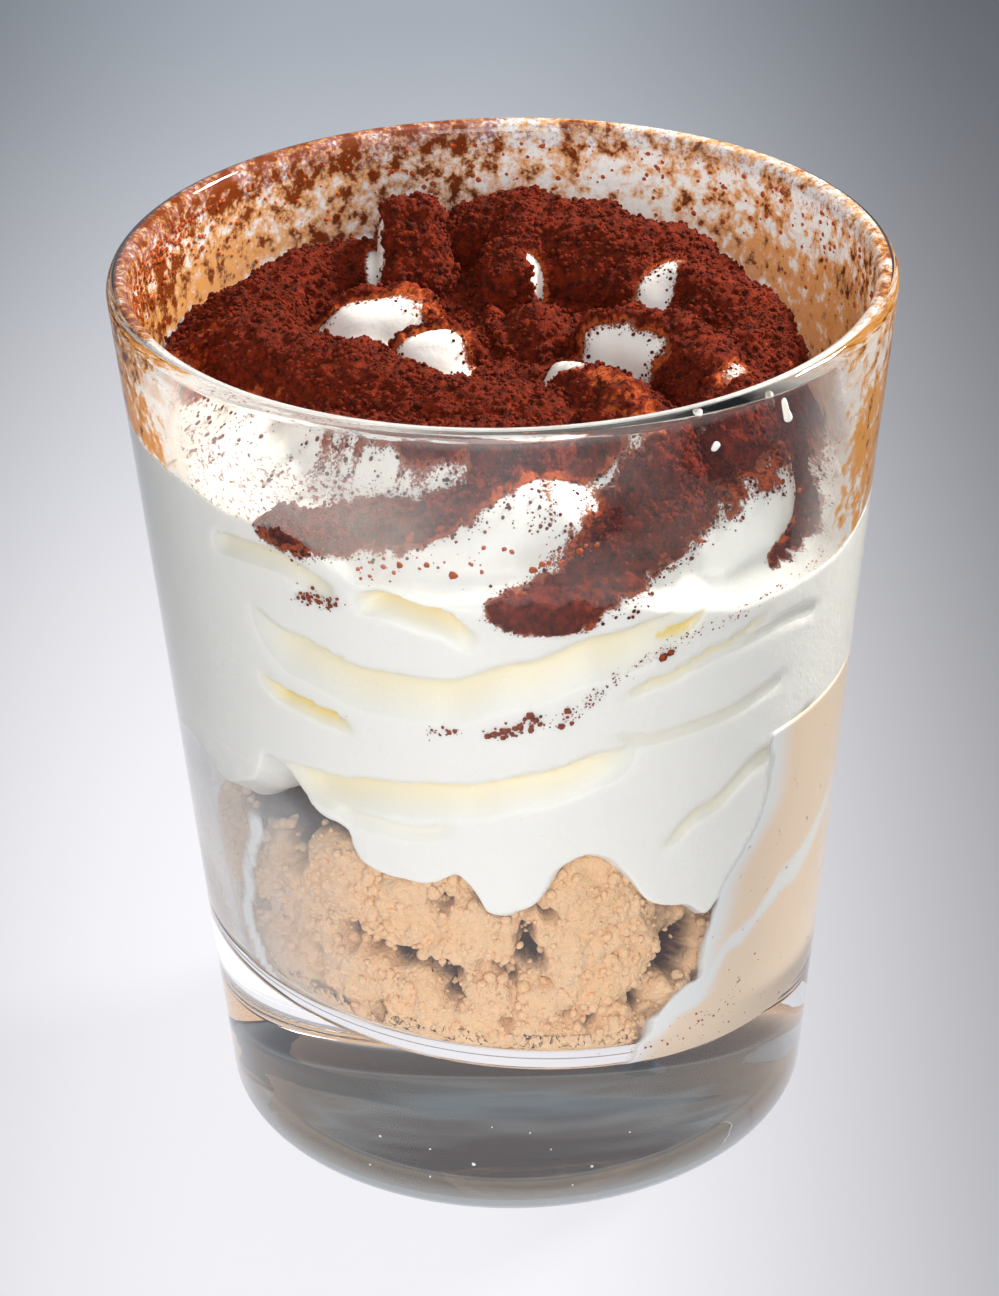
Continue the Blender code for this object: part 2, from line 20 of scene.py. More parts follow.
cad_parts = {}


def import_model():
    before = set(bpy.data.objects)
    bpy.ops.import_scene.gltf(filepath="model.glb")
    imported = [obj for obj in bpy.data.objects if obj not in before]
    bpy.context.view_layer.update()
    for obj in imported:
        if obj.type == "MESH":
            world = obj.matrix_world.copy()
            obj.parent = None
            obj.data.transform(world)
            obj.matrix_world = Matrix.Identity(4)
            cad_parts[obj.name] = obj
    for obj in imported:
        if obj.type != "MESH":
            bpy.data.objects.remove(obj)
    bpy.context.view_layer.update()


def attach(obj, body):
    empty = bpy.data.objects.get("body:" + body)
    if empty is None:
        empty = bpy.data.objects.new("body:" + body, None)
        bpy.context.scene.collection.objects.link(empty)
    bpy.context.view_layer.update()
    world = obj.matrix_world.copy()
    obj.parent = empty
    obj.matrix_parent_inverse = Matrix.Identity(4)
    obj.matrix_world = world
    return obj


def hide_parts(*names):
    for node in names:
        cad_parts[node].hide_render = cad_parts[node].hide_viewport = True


MM = 0.001
WELD = 0.01 * MM
SEED = 7

LOG = logging.getLogger("tiramisu")

Colour = tuple[float, float, float, float]
Table = Sequence[tuple[float, float]]
Rope = list[tuple[Vector, float]]


class Slot(Enum):
    """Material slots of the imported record."""

    GLASS = "clear_glass"
    CREAM = "mascarpone_cream"
    COCOA = "cocoa_powder"
    BISCUIT = "biscuit"


def linear(code: str) -> Colour:
    """Turn an sRGB hex colour into a linear one.

    Args:
        code: Colour such as "#F2F0EA".

    Returns:
        Linear red, green and blue with an alpha of 1.
    """
    parts = [int(code[start:start + 2], 16) / 255.0 for start in (1, 3, 5)]
    red, green, blue = (
        part / 12.92 if part <= 0.04045 else ((part + 0.055) / 1.055) ** 2.4 for part in parts
    )
    return (red, green, blue, 1.0)


def smooth_step(value: float) -> float:
    """Ease a ramp between 0 and 1."""
    value = min(max(value, 0.0), 1.0)
    return value * value * (3.0 - 2.0 * value)


def ramp(low: float, high: float, value: float) -> float:
    """Ease from 0 at low to 1 at high, which may lie below low."""
    return smooth_step((value - low) / (high - low))


def between(table: Table, value: float) -> float:
    """Read a table of places and amounts.

    Args:
        table: Pairs of place and amount, in order of place.
        value: Place to read.

    Returns:
        The amount there, eased from one pair to the next.
    """
    for (left, low), (right, high) in zip(table, table[1:]):
        if value <= right:
            return low + (high - low) * smooth_step((value - left) / (right - left))
    return table[-1][1]


def azimuth_of(x: float, y: float) -> float:
    """Azimuth of a place in degrees, 0 at the front."""
    return math.degrees(math.atan2(x, -y))


def polar(azimuth: float, radius: float, height: float) -> Vector:
    """Place at an azimuth in degrees."""
    angle = math.radians(azimuth)
    return Vector((radius * math.sin(angle), -radius * math.cos(angle), height))


class Nodes:
    """Writes the nodes of one tree, and holds the usual short cuts for them."""

    def __init__(self, tree: bpy.types.NodeTree) -> None:
        """Start with an empty tree."""
        tree.nodes.clear()
        self.tree = tree

    def add(
        self,
        kind: str,
        settings: dict[str, Any] | None = None,
        values: dict[Any, Any] | None = None,
        links: dict[Any, bpy.types.NodeSocket] | None = None,
    ) -> bpy.types.NodeOutputs:
        """Add a node with its settings and links.

        Args:
            kind: Blender's name for the type of node.
            settings: Properties of the node.
            values: Fixed amounts, by the name or number of the input.
            links: Outputs of other nodes, by the name or number of the input they feed.

        Returns:
            The outputs of the new node.
        """
        node = self.tree.nodes.new(kind)
        for name, value in (settings or {}).items():
            setattr(node, name, value)
        for name, value in (values or {}).items():
            node.inputs[name].default_value = value
        for name, source in (links or {}).items():
            self.tree.links.new(source, node.inputs[name])
        return node.outputs

    def place(self) -> bpy.types.NodeSocket:
        """Place on the piece, in metres."""
        return self.add("ShaderNodeTexCoord")["Object"]

    def amount(self, name: str) -> bpy.types.NodeSocket:
        """An amount that the mesh stores at each vertex."""
        return self.add("ShaderNodeAttribute", {"attribute_name": name})["Fac"]

    def noise(self, grain: float, detail: float, roughness: float = 0.5) -> bpy.types.NodeSocket:
        """Soft noise with lumps about as wide as grain."""
        values = {"Scale": 1.0 / grain, "Detail": detail, "Roughness": roughness}
        return self.add("ShaderNodeTexNoise", values=values, links={"Vector": self.place()})[0]

    def cells(self, grain: float, **values: float) -> bpy.types.NodeSocket:
        """Distance from the middle of the nearest of many cells about as wide as grain."""
        values["Scale"] = 1.0 / grain
        return self.add("ShaderNodeTexVoronoi", values=values, links={"Vector": self.place()})[0]

    def combine(
        self, operation: str, first: bpy.types.NodeSocket, second: bpy.types.NodeSocket | float
    ) -> bpy.types.NodeSocket:
        """Work out one number from two.

        Args:
            operation: Operation of the maths node.
            first: First number.
            second: Second number.

        Returns:
            The result.
        """
        if isinstance(second, float):
            return self.add("ShaderNodeMath", {"operation": operation}, {1: second}, {0: first})[0]
        return self.add("ShaderNodeMath", {"operation": operation}, links={0: first, 1: second})[0]

    def ramp(
        self, value: bpy.types.NodeSocket, start: float, end: float, low: float = 0.0, high: float = 1.0,
        eased: bool = False,
    ) -> bpy.types.NodeSocket:
        """Turn a number from start to end into one from low to high, and hold it there beyond them.

        Args:
            value: Number to turn.
            start: Where the result is low.
            end: Where the result is high, which may lie below start.
            low: Result at the start.
            high: Result at the end.
            eased: Whether the ramp starts and ends softly.

        Returns:
            The result.
        """
        settings = {"interpolation_type": "SMOOTHSTEP" if eased else "LINEAR"}
        values = {"From Min": start, "From Max": end, "To Min": low, "To Max": high}
        return self.add("ShaderNodeMapRange", settings, values, {"Value": value})[0]

    def blend(
        self,
        share: bpy.types.NodeSocket,
        first: bpy.types.NodeSocket | str,
        second: bpy.types.NodeSocket | str,
    ) -> bpy.types.NodeSocket:
        """Mix two colours.

        Args:
            share: Share of the second colour.
            first: Hex code or output.
            second: Hex code or output.

        Returns:
            The mixed colour.
        """
        values, links = {}, {0: share}
        for number, colour in ((6, first), (7, second)):
            if isinstance(colour, str):
                values[number] = linear(colour)
            else:
                links[number] = colour
        return self.add("ShaderNodeMix", {"data_type": "RGBA"}, values, links)[2]

    def bump(
        self, height: bpy.types.NodeSocket, depth: float, strength: float = 1.0,
        over: bpy.types.NodeSocket | None = None, invert: bool = False,
    ) -> bpy.types.NodeSocket:
        """Relief from a height, on top of another relief if there is one.

        Args:
            height: Height from 0 to 1.
            depth: Height in metres that 1 stands for.
            strength: How much of it shows.
            over: Relief below it.
            invert: Whether high turns into deep.

        Returns:
            The normal.
        """
        links = {"Height": height} if over is None else {"Height": height, "Normal": over}
        values = {"Strength": strength, "Distance": depth}
        return self.add("ShaderNodeBump", {"invert": invert}, values, links)[0]

    def surface(self, shader: bpy.types.NodeSocket) -> None:
        """Let a shader be the surface."""
        self.add("ShaderNodeOutputMaterial", links={"Surface": shader})


def new_material(name: str) -> tuple[bpy.types.Material, Nodes]:
    """Make an empty material.

    Args:
        name: Name of the material.

    Returns:
        The material and the writer of its nodes.
    """
    material = bpy.data.materials.new(name)
    material.use_nodes = True
    return material, Nodes(material.node_tree)


def mesh_of(bm: bmesh.types.BMesh, name: str) -> bpy.types.Mesh:
    """Write a bmesh to a new mesh and free it."""
    mesh = bpy.data.meshes.new(name)
    bm.to_mesh(mesh)
    bm.free()
    return mesh


def add_object(name: str, mesh: bpy.types.ID) -> bpy.types.Object:
    """Put a mesh or curve in the scene at the origin."""
    obj = bpy.data.objects.new(name, mesh)
    bpy.context.scene.collection.objects.link(obj)
    return obj


def finished_mesh(holder: bpy.types.Object) -> bpy.types.Mesh:
    """Mesh of a holder with its modifiers applied; the holder goes."""
    bpy.context.view_layer.update()
    graph = bpy.context.evaluated_depsgraph_get()
    mesh = bpy.data.meshes.new_from_object(holder.evaluated_get(graph))
    bpy.data.objects.remove(holder)
    return mesh


def dress(
    piece: bpy.types.Object, material: bpy.types.Material, slot: Slot, *replaced: str
) -> bpy.types.Object:
    """Give a piece its finish and tie it to the frame.

    Args:
        piece: Finished piece, in place.
        material: Finish of the whole piece.
        slot: Slot of the record that the finish comes from; not used.
        replaced: Nodes that the piece stands for.

    Returns:
        The piece.
    """
    piece.data.materials.clear()
    piece.data.materials.append(material)
    piece.data.shade_smooth()
    if replaced:
        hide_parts(*replaced)
    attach(piece, "root")
    LOG.info("%s: %d faces", piece.name, len(piece.data.polygons))
    return piece


def set_amounts(mesh: bpy.types.Mesh, name: str, amounts: Iterable[float]) -> None:
    """Store an amount for each vertex, for a material to read."""
    mesh.attributes.new(name, "FLOAT", "POINT").data.foreach_set("value", list(amounts))


def largest_body(mesh: bpy.types.Mesh) -> bpy.types.Mesh:
    """Drop all but the largest connected body of a mesh."""
    bm = bmesh.new()
    bm.from_mesh(mesh)
    unseen = set(bm.verts)
    bodies = []
    while unseen:
        queue = [unseen.pop()]
        body = list(queue)
        while queue:
            for edge in queue.pop().link_edges:
                for vert in edge.verts:
                    if vert in unseen:
                        unseen.remove(vert)
                        queue.append(vert)
                        body.append(vert)
        bodies.append(body)
    bodies.sort(key=len)
    for body in bodies[:-1]:
        bmesh.ops.delete(bm, geom=body, context="VERTS")
    bm.to_mesh(mesh)
    bm.free()
    return mesh


def remeshed(meshes: Iterable[bpy.types.Mesh], voxel: float, smoothing: int) -> bpy.types.Mesh:
    """Join closed meshes into one skin.

    Args:
        meshes: Closed meshes that overlap.
        voxel: Size of the new faces.
        smoothing: Rounds of smoothing.

    Returns:
        The joined skin, without its sealed pockets.
    """
    bm = bmesh.new()
    for mesh in meshes:
        bm.from_mesh(mesh)
    holder = add_object("joined", mesh_of(bm, "joined"))
    remesh = holder.modifiers.new("union", "REMESH")
    remesh.mode = "VOXEL"
    remesh.voxel_size = voxel
    smooth = holder.modifiers.new("smooth", "SMOOTH")
    smooth.factor = 0.5
    smooth.iterations = smoothing
    return largest_body(finished_mesh(holder))


def turned(profile: Sequence[tuple[float, float]], sides: int, closed: bool = False) -> bmesh.types.BMesh:
    """Spin a profile of radii and heights about the glass's axis.

    Args:
        profile: Radius and height of each point.
        sides: Number of steps round the axis.
        closed: Whether the last point joins the first.

    Returns:
        The turned shape, facing out.
    """
    bm = bmesh.new()
    verts = [bm.verts.new((0.0, -radius, height)) for radius, height in profile]
    edges = [bm.edges.new(pair) for pair in zip(verts, verts[1:])]
    if closed:
        edges.append(bm.edges.new((verts[-1], verts[0])))
    bmesh.ops.spin(
        bm, geom=verts + edges, cent=(0, 0, 0), axis=(0, 0, 1), angle=math.tau, steps=sides, use_merge=True
    )
    bmesh.ops.remove_doubles(bm, verts=bm.verts, dist=WELD)
    bmesh.ops.recalc_face_normals(bm, faces=bm.faces)
    return bm


def rough(place: Vector, grain: float, shift: float = 0.0) -> float:
    """Even noise from -1 to 1 with lumps about as wide as grain."""
    return noise.noise(place / grain + Vector((shift, 0.0, 0.0)))


def pebbles(place: Vector, grain: float) -> float:
    """Height from 0 to 1 of round granules about as wide as grain."""
    return max(1.0 - (1.6 * noise.voronoi(place / grain)[0][0]) ** 2, 0.0)


@dataclass(frozen=True)
class GlassShape:
    """Sizes of the tapered glass on its heavy base."""

    height: float = 95.8 * MM
    rim_radius: float = 40.0 * MM
    base_radius: float = 31.4 * MM
    wall: float = 2.4 * MM
    base_edge: float = 2.3 * MM
    floor: float = 17.4 * MM
    fillet: float = 6.0 * MM
    slope: float = 0.10
    slope_reach: float = 12.0 * MM

    def outer(self, height: float) -> float:
        """Outside radius at a height."""
        return self.base_radius + (self.rim_radius - self.base_radius) * height / self.height

    def inner(self, height: float) -> float:
        """Inside radius at a height."""
        return self.outer(height) - self.wall

    def hollow(self, x: float, height: float) -> float:
        """Inside radius at x and a height, with the rounded corner of the floor."""
        top = self.floor + self.lift(x, self.floor) + self.fillet
        drop = min(max((top - height) / self.fillet, 0.0), 1.0)
        return self.inner(height) - self.fillet * (1.0 - math.sqrt(1.0 - drop * drop))

    def lift(self, x: float, height: float) -> float:
        """Rise of the sloping inner floor at x, which fades out up the wall."""
        return -x * self.slope * (1.0 - smooth_step((height - self.floor) / self.slope_reach))

    def floor_at(self, x: float, radius: float) -> float:
        """Height of the inner floor with its rounded corner."""
        over = min(max(radius - self.inner(self.floor) + self.fillet, 0.0), self.fillet)
        return self.floor + self.lift(x, self.floor) + self.fillet - math.sqrt(self.fillet**2 - over**2)


SHAPE = GlassShape()


@dataclass(frozen=True)
class SodaGlass:
    """Pressed soda-lime glass, polished by fire: clear, with a sharp gloss and a faint ripple."""

    tint: str = "#FDFEFE"
    shade: str = "#FBFCFC"
    ior: float = 1.5
    ripple: float = 9.0 * MM
    ripple_depth: float = 0.2 * MM

    def material(self) -> bpy.types.Material:
        """Clear glass that lets lamps through to what is in it.

        Returns:
            The material.
        """
        material, nodes = new_material("pressed soda-lime glass")
        ripple = nodes.bump(nodes.noise(self.ripple, 1.0), self.ripple_depth, 0.05)
        values = {
            "Base Color": linear(self.tint),
            "Roughness": 0.0,
            "IOR": self.ior,
            "Transmission Weight": 1.0,
        }
        glass = nodes.add("ShaderNodeBsdfPrincipled", values=values, links={"Normal": ripple})[0]
        clear = nodes.add("ShaderNodeBsdfTransparent", values={"Color": linear(self.shade)})[0]
        ray = nodes.add("ShaderNodeLightPath")
        lamp = nodes.combine("MAXIMUM", ray["Is Shadow Ray"], ray["Is Diffuse Ray"])
        nodes.surface(nodes.add("ShaderNodeMixShader", links={0: lamp, 1: glass, 2: clear})[0])
        return material


@dataclass(frozen=True)
class WhippedCream:
    """Whipped mascarpone: a satin fat foam that light sinks into, with painted yellow shade in its folds."""

    light: str = "#F8F5EE"
    fold: str = "#FADF8A"
    # Painted shade: the yellow that colours the cream in its folds, by their fold amount.
    dust: str = "#93441F"
    waves: float = 3.0 * MM
    wave_depth: float = 0.3 * MM
    bubbles: float = 0.45 * MM
    bubble_depth: float = 0.08 * MM
    powder: float = 0.32 * MM
    glow: float = 1.6 * MM

    def material(self) -> bpy.types.Material:
        """Cream with painted yellow shade by its fold amount, tinted by its dust amount.

        Returns:
            The material.
        """
        material, nodes = new_material("whipped mascarpone cream")
        # Painted shade: yellow mixed in by the fold amount.
        butter = nodes.blend(nodes.amount("fold"), self.light, self.fold)
        heaped = nodes.combine("ADD", nodes.noise(self.powder, 3.0, 0.75), nodes.amount("dust"))
        dusted = nodes.blend(nodes.ramp(heaped, 0.68, 0.84), butter, self.dust)
        broad = nodes.bump(nodes.noise(self.waves, 4.0, 0.6), self.wave_depth, 0.4)
        fine = nodes.bump(nodes.cells(self.bubbles), self.bubble_depth, 0.18, broad)
        shader = nodes.add(
            "ShaderNodeBsdfPrincipled",
            {"subsurface_method": "BURLEY"},
            {
                "Roughness": 0.38,
                "IOR": 1.46,
                "Subsurface Weight": 0.35,
                "Subsurface Radius": (1.0, 0.8, 0.45),
                "Subsurface Scale": self.glow,
            },
            {"Base Color": dusted, "Normal": fine},
        )
        nodes.surface(shader[0])
        return material


@dataclass(frozen=True)
class CocoaPowder:
    """Sieved cocoa powder: matt and granular, dark brown where it is thick, rust orange where it is thin."""

    # Painted shade in the hollows between clumps and painted light on their tops: the clump noise picks
    # between these two.
    clump_shade: str = "#380D04"
    lit: str = "#80260C"
    thin: str = "#C05A2A"
    fuzz: str = "#C8683C"
    grain: float = 0.30 * MM
    grain_depth: float = 0.20 * MM
    clump: float = 1.1 * MM
    clump_depth: float = 0.25 * MM

    def material(self) -> bpy.types.Material:
        """Powder coloured by its depth amount, with painted shade and painted light from its clump relief.

        Returns:
            The material.
        """
        material, nodes = new_material("sieved cocoa powder")
        clumps = nodes.noise(self.clump, 5.0, 0.7)
        grains = nodes.noise(self.grain, 3.0, 0.7)
        # Painted shade and light: darker where the clump bump sinks, lighter where it rises.
        brown = nodes.blend(nodes.ramp(clumps, 0.35, 0.65), self.clump_shade, self.lit)
        cover = nodes.combine("ADD", nodes.amount("depth"), grains)
        colour = nodes.blend(nodes.ramp(cover, 0.95, 0.55), brown, self.thin)
        coarse = nodes.bump(clumps, self.clump_depth)
        fine = nodes.bump(grains, self.grain_depth, over=coarse)
        values = {
            "Roughness": 0.95,
            "IOR": 1.45,
            "Specular IOR Level": 0.2,
            "Sheen Weight": 0.05,
            "Sheen Roughness": 0.6,
            "Sheen Tint": linear(self.fuzz),
        }
        links = {"Base Color": colour, "Normal": fine}
        nodes.surface(nodes.add("ShaderNodeBsdfPrincipled", values=values, links=links)[0])
        return material


@dataclass(frozen=True)
class BakedCrumb:
    """Crumbled butter biscuit, soaked in places: golden and granular, with dark brown painted shade in its
    cavities.
    """

    pale: str = "#FFF6E0"
    golden: str = "#FFE4BC"
    toast_and_shade: str = "#FFC388"
    # Painted shade for the hollows behind the glass and the gaps between grains.
    cavity_shade: str = "#48190E"
    grain: float = 0.75 * MM
    grain_depth: float = 0.16 * MM
    patch: float = 4.0 * MM

    def material(self) -> bpy.types.Material:
        """Biscuit coloured by patches, with painted shade in its hollows by the amount the mesh stores.

        Returns:
            The material.
        """
        material, nodes = new_material("crumbled butter biscuit")
        grains = nodes.cells(self.grain, Detail=2.0, Roughness=0.7)
        patches = nodes.ramp(nodes.noise(self.patch, 5.0, 0.65), 0.38, 0.66)
        golden = nodes.blend(patches, self.pale, self.golden)
        # Toast in the sunken edges of the grain cells: partly the crumbs' own toast, partly painted shade in
        # the grooves.
        toast_and_shade = nodes.blend(nodes.ramp(grains, 0.35, 0.8, high=0.75), golden, self.toast_and_shade)
        # Painted shade: the stored amount darkens the hollows.
        colour = nodes.blend(nodes.amount("cavity_shade"), toast_and_shade, self.cavity_shade)
        relief = nodes.bump(grains, self.grain_depth, invert=True)
        values = {"Roughness": 0.72, "IOR": 1.45, "Specular IOR Level": 0.3}
        links = {"Base Color": colour, "Normal": relief}
        nodes.surface(nodes.add("ShaderNodeBsdfPrincipled", values=values, links=links)[0])
        return material


@dataclass
class Tumbler:
    """The glass itself, turned as smoothly as it was pressed."""

    shape: GlassShape = SHAPE
    sides: int = 256
    rim_steps: int = 12
    edge_steps: int = 8
    fillet_steps: int = 14
    wall_steps: int = 6

    def profile(self) -> list[tuple[float, float]]:
        """Radius and height of each point, from the base's middle over the rim to the floor's middle.

        Returns:
            The points in order.
        """
        shape = self.shape
        corner = shape.outer(shape.base_edge) - shape.base_edge
        points = [(0.0, 0.0), (0.6 * corner, 0.0)]
        for step in range(self.edge_steps + 1):
            angle = math.radians(-90.0 + 90.0 * step / self.edge_steps)
            x = corner + shape.base_edge * math.cos(angle)
            points.append((x, shape.base_edge * (1.0 + math.sin(angle))))
        lip = 0.5 * shape.wall
        for step in range(1, self.wall_steps):
            height = shape.base_edge + (shape.height - lip - shape.base_edge) * step / self.wall_steps
            points.append((shape.outer(height), height))
        for step in range(self.rim_steps + 1):
            angle = math.radians(180.0 * step / self.rim_steps)
            x = shape.rim_radius - lip + lip * math.cos(angle)
            points.append((x, shape.height - lip + lip * math.sin(angle)))
        top = shape.floor + shape.fillet
        for step in range(1, 2 * self.wall_steps):
            height = shape.height - lip + (top - shape.height + lip) * step / (2 * self.wall_steps)
            points.append((shape.inner(height), height))
        bend = shape.inner(shape.floor) - shape.fillet
        for step in range(self.fillet_steps + 1):
            angle = math.radians(-90.0 * step / self.fillet_steps)
            x = bend + (shape.inner(top) - bend) * math.cos(angle)
            points.append((x, top + shape.fillet * math.sin(angle)))
        return points + [(0.66 * bend, shape.floor), (0.33 * bend, shape.floor), (0.0, shape.floor)]

    def build(self, finish: SodaGlass) -> bpy.types.Object:
        """Turn the glass and slope its inner floor.

        Args:
            finish: Finish of the glass.

        Returns:
            The piece.
        """
        bm = turned(self.profile(), self.sides)
        for vert in bm.verts:
            x, y, z = vert.co
            inside = math.hypot(x, y) < self.shape.inner(z) + 0.5 * self.shape.wall
            if inside and z > 0.5 * self.shape.floor:
                vert.co.z += self.shape.lift(x, z)
        piece = add_object("tumbler", mesh_of(bm, "tumbler"))
        return dress(piece, finish.material(), Slot.GLASS, "glass")


# Height in mm at which the cream leaves the glass, by azimuth.
CONTACT_HEIGHTS = (
    (-180, 84.5), (-140, 83.5), (-105, 83.5), (-78, 82.7), (-52, 82.0), (-34, 80.7), (-21, 76.9),
    (-4, 75.5), (7, 75.0), (18, 74.5), (28, 72.5), (40, 71.0), (60, 70.8), (90, 73.0), (114, 76.0),
    (140, 82.0),
    (180, 84.5),
)

# Height in mm of the cream's lower edge on the glass, by azimuth.
LOWER_EDGE = (
    (-180, 46), (-150, 44), (-120, 46.5), (-95, 44.5), (-70, 47), (-57, 44.5), (-49, 47.0), (-44, 51.5),
    (-39, 49.0),
    (-33, 46.0), (-24, 44.6), (-16, 43.2), (-11, 45.0), (-8, 41.5), (-5, 37.6), (-1, 37.8), (4, 41.6),
    (12, 44.0),
    (19, 43.0), (25, 39.4), (31, 35.8), (36, 33.0), (40, 35.0), (46, 39.5), (60, 43.5), (75, 44.5),
    (105, 47),
    (140, 44), (180, 46),
)

# Piped ropes on top: x, y, crest height and radius in mm at each control point.
TOP_ROPES = {
    "front": ((-30, 13, 85.5, 5), (-25, 3, 88, 6.2), (-17, -6, 88.6, 6.5), (-7, -12.5, 88, 6.5),
              (3, -15.5, 87.4, 6), (9, -19, 85.5, 4.5)),
    "front petal": ((5, -3, 85.5, 3), (9.5, -12, 88, 4), (13, -19, 87.4, 4.6), (15, -26, 83.5, 4.6)),
    "right petal": ((8, 3, 86, 3), (14, 1.5, 88.6, 4), (19, -4.5, 88.6, 4.6), (22.5, -12, 87, 5),
                    (22.5, -20, 84, 5)),
    "right": ((11, 14.5, 87, 5), (18, 14, 88.8, 6.5), (24, 7, 88, 7), (26, -3, 85.5, 6.5),
              (26, -13, 82, 6)),
    "back ridge": ((0.5, 14, 86.0, 3.5), (2.0, 21, 89.0, 4), (3.5, 27.5, 91.0, 4.5)),
    "back dome": ((-1, 27, 89.8, 6), (4, 26, 90.6, 7), (10, 23.5, 90.4, 8), (18, 18.5, 88.8, 8),
                  (26, 11, 85, 6.5)),
    "back shoulder": ((-7, 29.5, 87.6, 4), (0, 30, 89.8, 4.5), (8, 28.5, 91.0, 4.5)),
    "back left": ((-11, 24, 87, 5.5), (-20, 21, 88, 5.5), (-27, 12.5, 87, 5.5), (-31, 2, 84.5, 4.6)),
    "curl": ((-10.0, 17.5, 86.5, 3.2), (-10.2, 21.4, 92, 2.9), (-10.4, 23.8, 95.6, 2.7)),
    "curl front": ((-8.0, 17.5, 86.5, 3.2), (-8.6, 21.4, 92, 2.6), (-9.0, 24.0, 95.2, 2.2)),
    "inner left": ((-19, 12, 85.0, 4), (-13, 11.5, 87.2, 4.5), (-6, 11, 87.2, 4)),
    "inner front": ((-12, 2, 84, 3.2), (-8, 1.5, 86.6, 4.4), (-3, 2, 86.4, 4)),
    "centre": ((-2, 8, 86, 4.5), (4, 7, 86.5, 5.5), (9, 7, 86.5, 4.5)),
}

# Ropes on top whose crest a finer ridge sharpens.
RIDGED_ROPES = ("front petal", "right petal", "back ridge", "right", "inner front")

# Turns of the rope that lean on the glass: azimuth, radius of the middle line, crest height
# and rope radius in mm.
SIDE_ROPES = {
    "first turn": ((-48, 32.5, 80.5, 4), (-28, 31, 81.5, 5), (-12, 29, 82.6, 6), (4, 27, 84, 6.5),
                   (16, 23, 86.5, 6)),
    "second turn": ((-10, 33.5, 74.8, 3), (4, 32.5, 76, 4), (16, 31, 78.5, 5), (28, 29, 82, 6),
                    (38, 26, 86, 6.5)),
    "third turn": ((34, 33.5, 74, 3), (46, 31.5, 79, 4.5), (56, 29.5, 83, 5.5), (66, 27, 86, 6)),
    "brow": ((-66, 25, 84.0, 4.5), (-40, 23, 86.2, 5), (-20, 21.5, 86.8, 5), (0, 20, 87, 5),
             (13, 18.5, 87, 4.5)),
    "drip": ((6, 29.5, 51, 4), (-1, 31, 47, 4.2), (-5, 32, 44.2, 3.6)),
    "right drip": ((18, 29, 53, 4.5), (28, 31.0, 47.5, 4.5), (36, 31.6, 41.5, 4.0)),
    "shell": ((-30, 31, 51.5, 3.8), (-17, 31.5, 50.5, 4), (-10, 30, 51, 3.6)),
}


@dataclass(frozen=True)
class Crease:
    """A fold pressed on the glass: a crisp lip above its line and a soft slope below, all in mm.

    The path holds azimuths and heights of the lip. Painted yellow shade fills the inside of the fold by a
    share from 0 to 1.
    """

    path: tuple[tuple[float, float], ...]
    depth: float
    sharp: float
    soft: float
    # Share of painted yellow shade inside the fold.
    butter: float = 0.6
    ends: float = 6.0

    def draw(self, azimuth: float, height: float) -> float:
        """Share of the full depth at a place.

        Args:
            azimuth: Azimuth in degrees.
            height: Height in metres.

        Returns:
            0 on the glass to 1 at the fold's deepest.
        """
        first, last = self.path[0][0], self.path[-1][0]
        if azimuth < first and last > 180.0:
            azimuth += 360.0
        along = (azimuth - first) / (last - first)
        if not 0.0 < along < 1.0:
            return 0.0
        above = height / MM - between(self.path, azimuth)
        width = self.sharp if above > 0.0 else self.soft
        if abs(above) > width:
            return 0.0
        fade = smooth_step(along * self.ends) * smooth_step((1.0 - along) * self.ends)
        return smooth_step(1.0 - abs(above) / width) * fade


CREASES = (
    Crease(((-46, 71.5), (-36, 69.0), (-22, 66.9), (-10, 66.7), (1, 68.8), (14, 71.2),
        (30, 73.0)), 1.9, 0.8, 5.4, 0.45),
    Crease(((-25, 75.6), (-20, 76.2), (-12, 75.0), (-4, 72.4)), 2.8, 0.9, 2.6, 0.8, 3.5),
    Crease(((-45, 63.2), (-38, 62.0), (-31, 61.2), (-25, 60.0)), 1.7, 0.7, 1.6, 1.3, 3.0),
    Crease(((-44, 53.2), (-32, 53.0), (-21, 53.9), (-8, 54.4), (4, 55.8), (16, 57.6),
        (22, 58.4)), 2.1, 0.8, 4.2, 0.5),
    Crease(((14, 60.4), (23, 59.0), (34, 59.2), (52, 60.5)), 0.45, 0.7, 1.6, 0.2),
    Crease(((24, 45.0), (34, 48.5), (46, 52.0), (62, 54.0)), 0.5, 0.8, 2.2, 0.3),
    Crease(((-52, 77.4), (-46, 78.2), (-38, 78.4), (-26, 76.0)), 0.9, 1.0, 2.6, 0.35),
    Crease(((26, 66.0), (36, 67.2), (48, 67.6), (60, 66.4)), 0.35, 0.7, 1.8, 0.1),
    Crease(((-33, 50.4), (-26, 49.4), (-17, 49.0), (-9, 49.8)), 0.8, 0.7, 2.0, 0.15),
    Crease(((17, 64.6), (24, 65.6), (34, 67.4), (46, 69.2)), 0.7, 0.5, 1.2, 0.5),
    Crease(((20, 69.6), (26, 71.0), (32, 72.4)), 0.8, 0.5, 1.6, 1.2, 3.0),
)


@dataclass
class BackFolds:
    """The like swaying folds round the back, which the front lets one expect."""

    count: int = 5
    first: float = 52.0
    pitch: float = 6.4
    sway: float = 2.4
    azimuths: tuple[float, ...] = (82, 140, 215, 275)

    def creases(self) -> list[Crease]:
        """One crease a fold.

        Returns:
            The creases.
        """
        made = []
        for index in range(self.count):
            height = self.first + index * self.pitch
            sway = self.sway * math.sin(1.7 * index + 0.6)
            heights = (height + sway, height - sway, height + 0.6 * sway, height)
            path = tuple(zip(self.azimuths, heights))
            made.append(Crease(path, 1.4 + 0.4 * math.cos(2.3 * index), 0.8, 3.0))
        return made


def contact_height(azimuth: float) -> float:
    """Height at which the cream leaves the glass."""
    return between(CONTACT_HEIGHTS, azimuth) * MM


